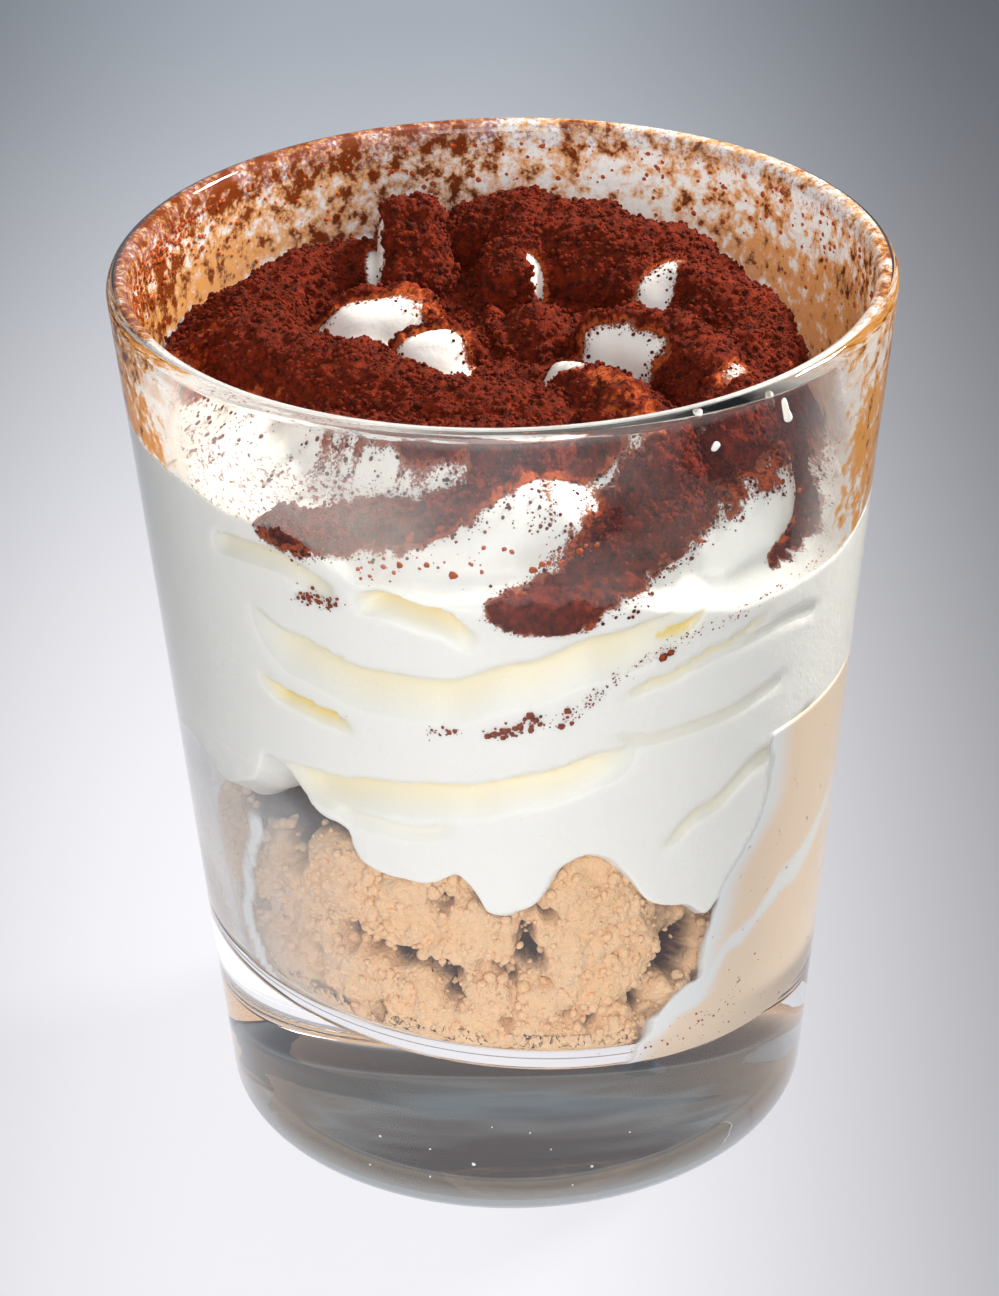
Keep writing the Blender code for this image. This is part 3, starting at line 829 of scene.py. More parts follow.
def smooth_path(points: Sequence[Sequence[float]], steps: int = 7) -> list[tuple[float, ...]]:
    """Run a soft curve through control points.

    Args:
        points: Control points of any length.
        steps: Steps from one to the next.

    Returns:
        Points on the curve.
    """
    padded = [points[0], *points, points[-1]]
    path = []
    for before, start, end, after in zip(padded, padded[1:], padded[2:], padded[3:]):
        for step in range(steps):
            t = step / steps
            path.append(tuple(
                0.5 * (
                    2 * s + (e - b) * t
                    + (2 * b - 5 * s + 4 * e - a) * t * t
                    + (3 * s - b - 3 * e + a) * t**3
                )
                for b, s, e, a in zip(before, start, end, after)
            ))
    path.append(tuple(float(value) for value in points[-1]))
    return path


def top_rope(points: Sequence[Sequence[float]]) -> Rope:
    """Middle line and radii of a rope given by x, y and crest height."""
    return [(Vector((x, y, z - r)) * MM, r * MM) for x, y, z, r in smooth_path(points)]


def side_rope(points: Sequence[Sequence[float]]) -> Rope:
    """Middle line and radii of a rope given by azimuth, radius and crest height."""
    return [(polar(a, d * MM, (z - r) * MM), r * MM) for a, d, z, r in smooth_path(points)]


def rounded_ends(rope: Rope) -> Rope:
    """Draw a rope's radius in to a dome at each end.

    Args:
        rope: Middle line and radii.

    Returns:
        The rope with its domes.
    """
    travelled = [0.0]
    for (start, _), (end, _) in zip(rope, rope[1:]):
        travelled.append(travelled[-1] + (end - start).length)
    result = []
    for (point, radius), place in zip(rope, travelled):
        inset = min(min(place, travelled[-1] - place) / radius, 1.0)
        result.append((point, radius * max(math.sqrt(1.0 - (1.0 - inset) ** 2), 0.1)))
    return result


def rope_mesh(ropes: Iterable[Rope]) -> bpy.types.Mesh:
    """Make a closed tube for each rope.

    Args:
        ropes: Middle lines and radii.

    Returns:
        One mesh with all the tubes.
    """
    curve = bpy.data.curves.new("ropes", "CURVE")
    curve.dimensions = "3D"
    curve.bevel_depth = 1.0
    curve.bevel_resolution = 6
    curve.use_fill_caps = True
    for rope in ropes:
        spline = curve.splines.new("POLY")
        spline.points.add(len(rope) - 1)
        for target, (point, radius) in zip(spline.points, rope):
            target.co = (*point, 1.0)
            target.radius = radius
    return finished_mesh(add_object("ropes", curve))


# Bare and thin places on top: x, y, half length and half width in mm, turn in degrees, share of cocoa left.
BARE_SPOTS = (
    (-13.8, 8.2, 5.8, 2.6, -10.0, 0.0),
    (-7.6, -0.8, 3.9, 2.6, 0.0, 0.0),
    (15.2, 9.3, 4.6, 1.9, 62.0, 0.0),
    (11.6, -1.8, 5.2, 2.2, 140.0, 0.0),
    (5.0, -6.6, 3.8, 2.2, 150.0, 0.0),
    (3.4, 17.2, 0.9, 1.6, 0.0, 0.0),
    (-13.4, 20.5, 1.0, 3.2, 0.0, 0.0),
    (22.8, -11.0, 2.4, 0.9, 60.0, 0.3),
    (11.6, -16.5, 6.5, 2.2, 112.0, 0.62),
    (-8.6, 11.6, 3.6, 2.2, 0.0, 0.55),
    (-31.0, 4.0, 6.0, 2.6, 80.0, 0.6),
    (24.5, 14.0, 4.0, 2.2, 145.0, 0.6),
    (-24.0, -9.5, 5.0, 2.0, 130.0, 0.65),
)

# Bands of cocoa on the turns that lean on the glass: x, y, height and half width in mm at each point.
COCOA_BANDS = (
    ((-21.6, -27.4, 81.5, 1.6), (-18.9, -29.0, 81.2, 2.2), (-13.8, -28.3, 81.2, 2.4),
        (-8.7, -29.0, 81.8, 2.2),
     (-2.3, -27.1, 83.3, 1.9), (2.4, -23.5, 84.3, 1.7), (7.6, -20.0, 84.0, 1.5)),
    ((-0.9, -35.0, 75.4, 1.4), (2.9, -34.2, 74.6, 2.4), (7.8, -31.8, 76.6, 3.0), (10.8, -29.8, 78.8, 3.6),
     (14.3, -26.8, 81.5, 4.0), (17.8, -23.2, 83.4, 4.4), (20.1, -18.0, 84.2, 5.0),
     (24.5, -13.0, 84.5, 5.0), (27.0, -8.0, 83.0, 5.0)),
    ((29.0, -10.8, 79.8, 2.4), (29.5, -9.9, 75.4, 2.4), (28.4, -14.7, 73.9, 1.8), (25.4, -21.7, 73.7, 1.0)),
)


@dataclass
class PipedCream:
    """Mascarpone piped in turns: a body that fills the glass, ropes on top and folds pressed on the glass."""

    shape: GlassShape = SHAPE
    low: float = 45.5 * MM
    crown: float = 83.5 * MM
    crown_width: float = 12.0 * MM
    body_radius: float = 37.0 * MM
    core: float = 20.0 * MM
    waist: float = 70.0 * MM
    foot_round: float = 2.5 * MM
    body_sides: int = 192
    reach: float = 0.15 * MM
    pressed_zone: float = 9.0 * MM
    shoulder_slope: float = 0.9
    shoulder_depth: float = 2.2 * MM
    voxel: float = 0.61 * MM
    smoothing: int = 6
    ridge_share: float = 0.55
    ridge_rise: float = 0.7 * MM
    lumps: float = 6.0 * MM
    lump_height: float = 0.8 * MM
    ripples: float = 2.4 * MM
    ripple_height: float = 0.16 * MM

    def body(self) -> bpy.types.Mesh:
        """Make the closed body under the ropes, whose top edge follows the contact line.

        Returns:
            The body's mesh.
        """
        edge = self.shape.inner(self.low)
        profile = [(0.0, self.low), (self.core, self.low), (edge - self.foot_round, self.low)]
        profile.append((edge + MM, self.low + self.foot_round))
        profile += [(self.body_radius - self.crown_width * step / 3.0, self.waist) for step in range(4)]
        profile.append((0.0, self.waist))
        bm = turned(profile, self.body_sides)
        for vert in bm.verts:
            azimuth = azimuth_of(vert.co.x, vert.co.y)
            if vert.co.z < self.low + self.foot_round + WELD:
                outer = ramp(self.core, edge - self.foot_round, math.hypot(vert.co.x, vert.co.y))
                vert.co.z += (between(LOWER_EDGE, azimuth) * MM - self.low) * outer
            if vert.co.z > self.waist - MM:
                radius = math.hypot(vert.co.x, vert.co.y)
                start = contact_height(azimuth)
                rise = smooth_step((self.body_radius - radius) / self.crown_width)
                vert.co.z = start + (self.crown - start) * rise
        return mesh_of(bm, "cream body")

    def ridge(self, rope: Rope) -> Rope:
        """A slimmer rope that sharpens the crest of another."""
        lifted = []
        for point, radius in rope:
            slim = self.ridge_share * radius
            lifted.append((point + Vector((0.0, 0.0, radius + self.ridge_rise - slim)), slim))
        return lifted

    def press(self, mesh: bpy.types.Mesh) -> bpy.types.Mesh:
        """Press the cream on the glass, draw in its folds and note the painted yellow shade in them.

        Args:
            mesh: The joined cream.

        Returns:
            The same mesh.
        """
        creases = [*CREASES, *BackFolds().creases()]
        folds = []
        for vert in mesh.vertices:
            x, y, z = vert.co
            radius = math.hypot(x, y)
            limit = self.shape.inner(z) + self.reach
            near = smooth_step(1.0 + (radius - limit) / self.pressed_zone)
            butter = 0.0
            if near > 0.0:
                azimuth = azimuth_of(x, y)
                recess = 0.0
                for crease in creases:
                    share = crease.draw(azimuth, z)
                    if share * crease.depth * MM > recess:
                        recess = share * crease.depth * MM
                        # The deepest crease sets the painted yellow shade here.
                        butter = share * crease.butter * near
                above = z - contact_height(azimuth)
                recess += min(max(above * self.shoulder_slope, 0.0), self.shoulder_depth)
                target = min(radius, limit) - recess * near
                vert.co.x *= target / radius
                vert.co.y *= target / radius
            folds.append(butter)
        set_amounts(mesh, "fold", folds)
        return mesh

    def roughen(self, mesh: bpy.types.Mesh) -> None:
        """Give the smooth ropes the uneven swell of hand piping."""
        mesh.update()
        for vert, normal in zip(mesh.vertices, [item.vector.copy() for item in mesh.vertex_normals]):
            place = vert.co.copy()
            swell = self.lump_height * rough(place, self.lumps)
            swell += self.ripple_height * rough(place, self.ripples, 5.0)
            vert.co += normal * swell

    def banded(self, place: Vector, bands: Sequence[Sequence[tuple[float, ...]]]) -> float:
        """Cocoa of the bands at a place, from 0 beside them to 1 in their middle."""
        spot = place / MM
        nearest = min((spot - Vector(point[:3])).length / point[3] for band in bands for point in band)
        strays = 0.35 * rough(place, 1.8 * MM, 6.0) + 0.3 * rough(place, 0.7 * MM, 3.0)
        return ramp(1.7, 0.5, nearest + strays)

    def dusting(self, place: Vector, normal: Vector, bands: Sequence[Sequence[tuple[float, ...]]]) -> float:
        """How much cocoa lies at a place on the cream.

        Args:
            place: Place on the cream.
            normal: Direction the cream faces there.
            bands: Points along the bands on the turns near the glass.

        Returns:
            0 for bare cream to 1 for a thick layer.
        """
        azimuth = azimuth_of(place.x, place.y)
        radius = math.hypot(place.x, place.y)
        above = place.z - contact_height(azimuth)
        if above < -2.5 * MM and radius > 26.0 * MM:
            return 0.0
        middle = ramp(28.0, 24.0, radius / MM) * ramp(78.0, 81.0, place.z / MM)
        behind = ramp(76.0, 88.0, abs(azimuth - 6.0))
        open_air = max(ramp(-0.5, 2.5, above / MM), middle, behind * ramp(-1.5, 0.2, above / MM))
        inside = ramp(0.0, 3.0 - 2.4 * behind, (self.shape.inner(place.z) - radius) / MM)
        covered = max(ramp(25.0, 21.0, radius / MM) * middle, behind * ramp(31.0, 28.0, radius / MM))
        least = 0.1 - 1.2 * covered
        amount = ramp(least, least + 0.45, normal.z + 0.16 * rough(place, 3.0 * MM)) * open_air * inside
        flank = ramp(24.0, 26.5, radius / MM + 1.2 * rough(place, 3.0 * MM, 4.0))
        flank *= ramp(88.0, 66.0, abs(azimuth - 6.0))
        if flank > 0.0:
            streak = Vector((azimuth / 3.2, place.z / (9.0 * MM), 0.0))
            dusty = 0.38 * ramp(-0.2, 0.4, noise.noise(streak)) * open_air
            dusty *= ramp(80.0, 84.0, place.z / MM)
            amount = amount * (1.0 - flank) + max(self.banded(place, bands), dusty) * flank
        for x, y, length, width, turn, kept in BARE_SPOTS:
            angle = math.radians(turn)
            across, along = place.x / MM - x, place.y / MM - y
            u = (across * math.cos(angle) + along * math.sin(angle)) / length
            v = (along * math.cos(angle) - across * math.sin(angle)) / width
            edge = math.hypot(u, v) + 0.22 * rough(place, 1.6 * MM, 9.0)
            amount *= kept + (1.0 - kept) * ramp(0.65, 1.75, edge)
        return amount

    def build(self, finish: WhippedCream) -> bpy.types.Object:
        """Pipe the cream.

        Args:
            finish: Finish of the cream.

        Returns:
            The piece.
        """
        ropes = [top_rope(points) for points in TOP_ROPES.values()]
        ropes += [self.ridge(top_rope(TOP_ROPES[name])) for name in RIDGED_ROPES]
        ropes += [side_rope(points) for points in SIDE_ROPES.values()]
        ropes = [rounded_ends(rope) for rope in ropes]
        mesh = remeshed([self.body(), rope_mesh(ropes)], self.voxel, self.smoothing)
        self.roughen(mesh)
        self.press(mesh)
        mesh.update()
        normals = [item.vector.copy() for item in mesh.vertex_normals]
        bands = [smooth_path(band, 3) for band in COCOA_BANDS]
        dust = [self.dusting(vert.co, normal, bands) for vert, normal in zip(mesh.vertices, normals)]
        set_amounts(mesh, "dust", dust)
        piece = add_object("piped_cream", mesh)
        return dress(piece, finish.material(), Slot.CREAM, "cream")


@dataclass(frozen=True)
class Grain:
    """A small lumpy ball: its middle, its radius and the way its flat side faces."""

    place: Vector
    size: float
    facing: Vector
    flat: float = 0.8


def drawn(sizes: tuple[float, float], favour: float, chance: random.Random) -> float:
    """Draw a size between two, where a higher favour gives more small ones."""
    return sizes[0] + (sizes[1] - sizes[0]) * chance.random() ** favour


def scattered(name: str, grains: Sequence[Grain], subdivisions: int, batch: int = 200) -> bpy.types.Mesh:
    """Join one lumpy ball for each grain.

    Args:
        name: Name of the mesh.
        grains: Where each ball goes.
        subdivisions: Fineness of a ball: 1 gives 20 faces, 2 gives 80.
        batch: Balls made at a time, which keeps the work short.

    Returns:
        The joined mesh.
    """
    whole = bmesh.new()
    for start in range(0, len(grains), batch):
        part = bmesh.new()
        for grain in grains[start:start + batch]:
            turn = grain.facing.to_track_quat("Z", "X").to_matrix().to_4x4()
            pose = Matrix.Translation(grain.place) @ turn @ Matrix.Diagonal((1.0, 1.0, grain.flat, 1.0))
            ball = bmesh.ops.create_icosphere(part, subdivisions=subdivisions, radius=grain.size, matrix=pose)
            for vert in ball["verts"]:
                away = vert.co - grain.place
                vert.co = grain.place + away * (1.0 + 0.45 * rough(vert.co, 1.2 * grain.size))
        mesh = mesh_of(part, name)
        whole.from_mesh(mesh)
        bpy.data.meshes.remove(mesh)
    return mesh_of(whole, name)


@dataclass
class CocoaLayer:
    """Sieved cocoa on the cream: a thick granular skin that thins out and sinks away at its edges."""

    least: float = 0.20
    edge: float = 0.42
    thickness: float = 0.75 * MM
    sunk: float = 0.5 * MM
    backing: float = 1.0 * MM
    granules: float = 0.85 * MM
    granule_height: float = 0.42 * MM
    clumps: float = 2.4 * MM
    clump_height: float = 0.55 * MM
    drifts: float = 8.0 * MM
    drift_height: float = 0.5 * MM
    heart: tuple[float, float, float] = (2.0, 9.0, 12.0)
    crumb_pieces: int = 2
    crumb_count: int = 8500
    crumb_sizes: tuple[float, float] = (0.12 * MM, 0.40 * MM)
    grain_count: int = 4200
    grain_sizes: tuple[float, float] = (0.07 * MM, 0.26 * MM)

    def build(self, cream: bpy.types.Object, finish: CocoaPowder) -> bpy.types.Object:
        """Lay the powder on the cream.

        Args:
            cream: The piped cream with its dust amounts.
            finish: Finish of the powder.

        Returns:
            The piece.
        """
        bm = bmesh.new()
        bm.from_mesh(cream.data)
        dust = bm.verts.layers.float.get("dust")
        bare = [face for face in bm.faces if max(vert[dust] for vert in face.verts) < self.least]
        bmesh.ops.delete(bm, geom=bare, context="FACES")
        bm.verts.layers.float.new("depth")
        upper = bm.verts.layers.float.new("upper")
        dust = bm.verts.layers.float.get("dust")
        outward = bm.verts.layers.float_vector.new("outward")
        bm.normal_update()
        for vert in bm.verts:
            vert[upper] = 1.0
            vert[outward] = vert.normal
        edges = list(bm.edges)
        grown = bmesh.ops.extrude_face_region(bm, geom=list(bm.faces), use_keep_orig=True)
        for item in grown["geom"]:
            if isinstance(item, bmesh.types.BMVert):
                item[upper] = 0.0
                item.co -= item[outward] * self.backing
        bmesh.ops.recalc_face_normals(bm, faces=bm.faces)
        bmesh.ops.subdivide_edges(bm, edges=edges, cuts=1, use_grid_fill=True)
        top = [vert for vert in bm.verts if vert[upper] > 0.5]
        bmesh.ops.smooth_vert(bm, verts=top, factor=0.5, use_axis_x=True, use_axis_y=True, use_axis_z=True)
        bm.normal_update()
        self.heap(bm, top, dust)
        piece = add_object("cocoa_layer", mesh_of(bm, "cocoa_layer"))
        return dress(piece, finish.material(), Slot.COCOA, "cocoa")

    def crumbs(
        self, layer: bpy.types.Object, finish: CocoaPowder, chance: random.Random
    ) -> list[bpy.types.Object]:
        """Lumps of powder all over the layer, where it is thick.

        Args:
            layer: The finished layer.
            finish: Finish of the powder.
            chance: Seeded chance.

        Returns:
            The pieces.
        """
        mesh = layer.data
        depth, upper = mesh.attributes["depth"].data, mesh.attributes["upper"].data
        thick = [
            vert.index for vert in mesh.vertices
            if upper[vert.index].value > 0.5 and depth[vert.index].value > 0.55 and vert.co.z > 78.0 * MM
        ]
        normals = mesh.vertex_normals
        material = finish.material()
        made = []
        for batch in range(self.crumb_pieces):
            grains = []
            for index in chance.sample(thick, self.crumb_count):
                size = drawn(self.crumb_sizes, 3.0, chance)
                normal = normals[index].vector.copy()
                grains.append(Grain(mesh.vertices[index].co + normal * 0.2 * size, size, normal))
            piece = add_object(f"cocoa_lumps_{batch}", scattered("cocoa_lumps", grains, 1))
            set_amounts(piece.data, "depth", [1.0] * len(piece.data.vertices))
            made.append(dress(piece, material, Slot.COCOA))
        return made

    def heap(self, bm: bmesh.types.BMesh, top: list[bmesh.types.BMVert], dust: Any) -> None:
        """Heap the powder by its amount, with drifts, clumps and granules."""
        depth = bm.verts.layers.float.get("depth")
        x, y, reach = self.heart
        for vert, normal in [(vert, vert.normal.copy()) for vert in top]:
            place = vert.co.copy()
            amount = vert[dust] + 0.16 * rough(place, 1.7 * MM, 2.0) + 0.26 * rough(place, 0.55 * MM, 4.0)
            cover = ramp(self.edge - 0.1, self.edge + 0.12, amount)
            centre = 1.0 - ramp(0.3, 1.0, math.hypot(place.x / MM - x, place.y / MM - y) / reach)
            rise = self.thickness * (0.35 + 0.65 * ramp(self.edge, 1.0, amount))
            rise += self.drift_height * rough(place, self.drifts, 7.0)
            rise += self.clump_height * (1.0 + centre) * rough(place, self.clumps, 8.0)
            rise += self.granule_height * (1.0 + 0.6 * centre) * (pebbles(place, self.granules) - 0.4)
            vert.co += normal * (cover * max(rise, 0.1 * MM) - (1.0 - cover) * self.sunk)
            vert[depth] = ramp(self.edge - 0.05, self.edge + 0.5, amount)

    def grains(self, cream: bpy.types.Object, finish: CocoaPowder, chance: random.Random) -> bpy.types.Object:
        """Drop single grains where the layer thins out.

        Args:
            cream: The piped cream with its dust amounts.
            finish: Finish of the powder.
            chance: Seeded chance.

        Returns:
            The piece.
        """
        mesh = cream.data
        dust = mesh.attributes["dust"].data
        normals = mesh.vertex_normals
        thin = [
            vert.index for vert in mesh.vertices
            if 0.03 < dust[vert.index].value < 0.6 and vert.co.z > 70.0 * MM
        ]
        grains = []
        for index in chance.sample(thin, min(self.grain_count, len(thin))):
            size = drawn(self.grain_sizes, 3.0, chance)
            shift = Vector([chance.uniform(-0.3, 0.3) * MM for _ in range(3)])
            normal = normals[index].vector.copy()
            grains.append(Grain(mesh.vertices[index].co + shift + normal * 0.2 * size, size, normal, 0.6))
        piece = add_object("cocoa_grains", scattered("cocoa_grains", grains, 1))
        set_amounts(piece.data, "depth", [0.55] * len(piece.data.vertices))
        return dress(piece, finish.material(), Slot.COCOA)


# Clumps of crumbs against the glass: azimuth, height, radius and depth behind the glass in mm.
CLUMPS = (
    (16, 33.6, 8.4, 6.2), (13, 40.0, 4.4, 3.0), (-10, 36.8, 3.6, 2.5), (-4, 35.0, 3.2, 2.2),
    (-11, 32.8, 3.5, 2.4), (-34, 39.5, 5.0, 3.4),
    (-23, 37.6, 4.8, 3.2), (-31, 28.6, 4.9, 3.2), (-20, 26.4, 4.3, 2.8), (-10, 24.2, 3.6, 2.4),
    (-5.5, 27.6, 3.2, 2.0),
    (5, 27.0, 3.1, 2.0), (2, 22.6, 3.0, 2.0), (10, 21.4, 3.0, 2.0), (20, 22.0, 3.2, 2.2),
    (-48, 37, 5.6, 4.0),
    (-50, 27, 5.6, 4.0), (-39, 22, 4.2, 3.0), (-24, 20.5, 3.4, 2.4), (31, 25.0, 3.6, 3.0),
    (33, 33.5, 4.0, 5.4),
    (46, 27, 6.0, 4.6), (60, 34, 6.4, 5.0), (-40, 33.5, 3.6, 2.6), (26, 43.5, 4.0, 4.0),
    (-14, 41.5, 3.4, 3.4),
)


# One millimetre along the inner wall, in degrees of azimuth.
DEGREES_PER_MM = 1.65

# Dark cavities between the clumps: azimuth, height, reach and depth in mm.
CAVITIES = (
    (2.6, 32.8, 2.3, 4.5), (1.5, 35.6, 1.2, 3.0), (-13.5, 39.8, 1.5, 3.5), (32.0, 29.0, 3.0, 4.5),
    (34.5, 31.5, 2.0, 4.0),
    (-32.0, 32.8, 1.6, 2.6), (-27.0, 32.4, 1.8, 3.0), (-22.0, 31.8, 1.9, 3.2), (-17.0, 31.6, 1.8, 3.4),
    (-13.2, 30.4, 2.3, 4.0), (-11.5, 27.4, 1.7, 3.0), (-3.2, 39.4, 1.3, 3.0), (6.2, 38.2, 1.1, 2.6),
    (5.4, 29.6, 1.0, 1.6), (9.0, 25.2, 1.0, 1.8), (14.5, 23.4, 1.1, 2.0), (24.0, 24.4, 1.2, 2.0),
    (28.6, 38.0, 1.2, 2.0),
    (-2.2, 24.6, 1.1, 2.2), (-1.6, 30.0, 0.9, 1.4), (-41.0, 30.5, 1.6, 2.0), (-44.0, 42.0, 3.0, 4.5),
    (-26.0, 24.6, 1.2, 1.6),
)


@dataclass
class BiscuitHeap:
    """Crumbled biscuit: a core, clumps that lean on the glass and loose crumbs between them."""

    shape: GlassShape = SHAPE
    top: float = 43.0 * MM
    inset: float = 6.0 * MM
    foot_inset: float = 1.0 * MM
    foot_height: float = 4.0 * MM
    carve_stray: float = 0.7 * MM
    sides: int = 96
    back_clumps: int = 11
    back_first: float = 76.0
    back_spread: float = 212.0
    back_heights: tuple[float, ...] = (24.0, 35.0, 29.0)
    back_sizes: tuple[float, ...] = (6.6, 6.1)
    back_depth: float = 5.0
    voxel: float = 0.42 * MM
    reach: float = 0.1 * MM
    lumps: float = 5.0 * MM
    lump_height: float = 1.1 * MM
    pebble: float = 2.6 * MM
    pebble_height: float = 0.9 * MM
    grit: float = 0.95 * MM
    grit_height: float = 0.5 * MM
    crumb_count: int = 2400
    crumb_sizes: tuple[float, float] = (0.22 * MM, 0.72 * MM)

    def bed(self) -> bpy.types.Mesh:
        """Core of the heap, which stands on the sloping floor."""
        foot = self.shape.inner(self.shape.floor) - self.foot_inset
        rise = self.top - self.shape.floor
        outline = (
            (0.0, 0.0), (0.5 * foot, 0.0), (foot, 0.0), (foot + MM, self.foot_height),
            (self.shape.inner(self.top) - self.inset, rise), (0.0, rise),
        )
        bm = turned([(radius, self.shape.floor + height) for radius, height in outline], self.sides)
        for vert in bm.verts:
            vert.co.z += self.shape.lift(vert.co.x, self.shape.floor)
        return mesh_of(bm, "bed")

    def clump(
        self, azimuth: float, height: float, size: float, depth: float, index: int
    ) -> bpy.types.Mesh:
        """One lumpy ball of crumbs."""
        bm = bmesh.new()
        bmesh.ops.create_icosphere(bm, subdivisions=4, radius=size * MM)
        for vert in bm.verts:
            vert.co *= 1.0 + 0.16 * noise.noise(vert.co * (0.22 / MM) + Vector((index, 0.0, 0.0)))
        way = polar(azimuth, self.shape.inner(height * MM) - depth * MM, height * MM)
        bmesh.ops.translate(bm, verts=bm.verts, vec=way)
        return mesh_of(bm, "clump")

    def places(self) -> list[tuple[float, float, float, float]]:
        """Azimuth, height, radius and depth of every clump, the unseen ones spread evenly round the back."""
        places = list(CLUMPS)
        for index in range(self.back_clumps):
            azimuth = self.back_first + index * self.back_spread / (self.back_clumps - 1)
            height, size = self.back_heights[index % 3], self.back_sizes[index % 2]
            places.append((azimuth, height, size, self.back_depth))
        return places

    def carved(self, place: Vector) -> float:
        """Depth of the dark cavities at a place."""
        deepest = 0.0
        azimuth = azimuth_of(place.x, place.y)
        for middle, height, reach, depth in CAVITIES:
            away = math.hypot((azimuth - middle) / DEGREES_PER_MM, place.z / MM - height) / reach
            if away < 1.0:
                deepest = max(deepest, depth * MM * smooth_step(2.2 * (1.0 - away)))
        return deepest

    def build(self, finish: BakedCrumb) -> bpy.types.Object:
        """Heap the biscuit.

        Args:
            finish: Finish of the biscuit.

        Returns:
            The piece.
        """
        clumps = [self.clump(*place, index) for index, place in enumerate(self.places())]
        mesh = remeshed([self.bed(), *clumps], self.voxel, 1)
        normals = [item.vector.copy() for item in mesh.vertex_normals]
        cavities = []
        for vert, normal in zip(mesh.vertices, normals):
            place = vert.co.copy()
            spot = place + normal * self.lump_height * rough(place, self.lumps)
            grain = 1.0 - pebbles(place, self.pebble)
            grit = 1.0 - pebbles(place, self.grit)
            radius = math.hypot(spot.x, spot.y)
            limit = self.shape.inner(spot.z) + self.reach
            hills = 0.5 + 0.5 * rough(place, 2.0 * self.pebble, 5.0)
            target = min(radius, limit) - self.pebble_height * grain * hills - self.grit_height * grit
            stray = Vector((rough(place, 1.8 * MM, 1.0), 0.0, rough(place, 1.8 * MM, 6.0)))
            target -= self.carved(spot + self.carve_stray * stray)
            vert.co = (spot.x * target / radius, spot.y * target / radius, spot.z)
            vert.co.z = max(vert.co.z, self.shape.floor_at(vert.co.x, target) - self.reach)
            # Painted shade: the further the surface lies behind the glass the darker, and the gaps between
            # pebbles a little.
            hollow = ramp(1.9, 4.2, (limit - target) / MM + 0.5 * rough(place, 2.0 * MM, 3.0))
            gap_shade = 0.03 * grain * grain
            cavities.append(max(hollow * ramp(0.0, 3.0, (spot.z - self.shape.floor) / MM), gap_shade))
        set_amounts(mesh, "cavity_shade", cavities)
        piece = add_object("biscuit_heap", mesh)
        return dress(piece, finish.material(), Slot.BISCUIT, "biscuit_crumbs")

    def crumbs(self, heap: bpy.types.Object, finish: BakedCrumb, chance: random.Random) -> bpy.types.Object:
        """Loose crumbs on the heap, most of them near the glass.

        Args:
            heap: The finished heap.
            finish: Finish of the biscuit.
            chance: Seeded chance.

        Returns:
            The piece.
        """
        mesh = heap.data
        normals = mesh.vertex_normals
        near = [
            vert.index for vert in mesh.vertices
            if 0.3 < (self.shape.inner(vert.co.z) - math.hypot(vert.co.x, vert.co.y)) / MM < 4.5
            and vert.co.z > self.shape.floor_at(vert.co.x, math.hypot(vert.co.x, vert.co.y)) + MM
        ]
        grains = []
        for index in chance.sample(near, min(self.crumb_count, len(near))):
            size = drawn(self.crumb_sizes, 2.5, chance)
            normal = normals[index].vector.copy()
            place = mesh.vertices[index].co + normal * 0.35 * size
            over = math.hypot(place.x, place.y) + 1.2 * size - self.shape.inner(place.z)
            if over > 0.0:
                place -= Vector((place.x, place.y, 0.0)).normalized() * over
            grains.append(Grain(place, size, normal, 0.85))
        piece = add_object("loose_crumbs", scattered("loose_crumbs", grains, 2))
        return dress(piece, finish.material(), Slot.BISCUIT)


@dataclass(frozen=True)
class WallFilm:
    """Thin smear dried on glass: milky where it is thin, tan or brown where coffee or cocoa ran into it."""

    milk: str = "#FCFBF9"
    coffee: str = "#FFE6CB"
    amber: str = "#F0A63C"
    brown: str = "#833B17"
    plum: str = "#A55E56"
    cloud: float = 4.5 * MM
    spot: float = 1.9 * MM
    fleck: float = 0.5 * MM
    lucent: float = 0.15

    def material(self) -> bpy.types.Material:
        """Film driven by its cover, tan, gold, rim and grime amounts.

        Returns:
            The material.
        """
        material, nodes = new_material("dried cream and cocoa film")
        clouds = nodes.noise(self.cloud, 5.0, 0.68)
        spots = nodes.noise(self.spot, 5.0, 0.68)
        flecks = nodes.noise(self.fleck, 3.0, 0.68)
        alpha = nodes.combine("MULTIPLY", nodes.amount("cover"), nodes.ramp(clouds, 0.3, 0.7, low=0.5))
        colour = nodes.blend(nodes.amount("tan"), self.milk, self.coffee)
        for tint, name, pattern, start, end, share in (
            (self.amber, "gold", spots, 0.91, 1.03, 0.62),
            (self.plum, "rim", flecks, 0.88, 1.05, 0.75),
            (self.brown, "grime", spots, 0.98, 1.06, 0.95),
        ):
            mark = nodes.ramp(nodes.combine("ADD", nodes.amount(name), pattern), start, end)
            colour = nodes.blend(mark, colour, tint)
            alpha = nodes.combine("MAXIMUM", alpha, nodes.combine("MULTIPLY", mark, share))
        matt = nodes.add("ShaderNodeBsdfDiffuse", links={"Color": colour})[0]
        lucent = nodes.add("ShaderNodeBsdfTranslucent", links={"Color": colour})[0]
        film = nodes.add("ShaderNodeMixShader", values={0: self.lucent}, links={1: matt, 2: lucent})[0]
        clear = nodes.add("ShaderNodeBsdfTransparent")[0]
        nodes.surface(nodes.add("ShaderNodeMixShader", links={0: alpha, 1: clear, 2: film})[0])
        return material


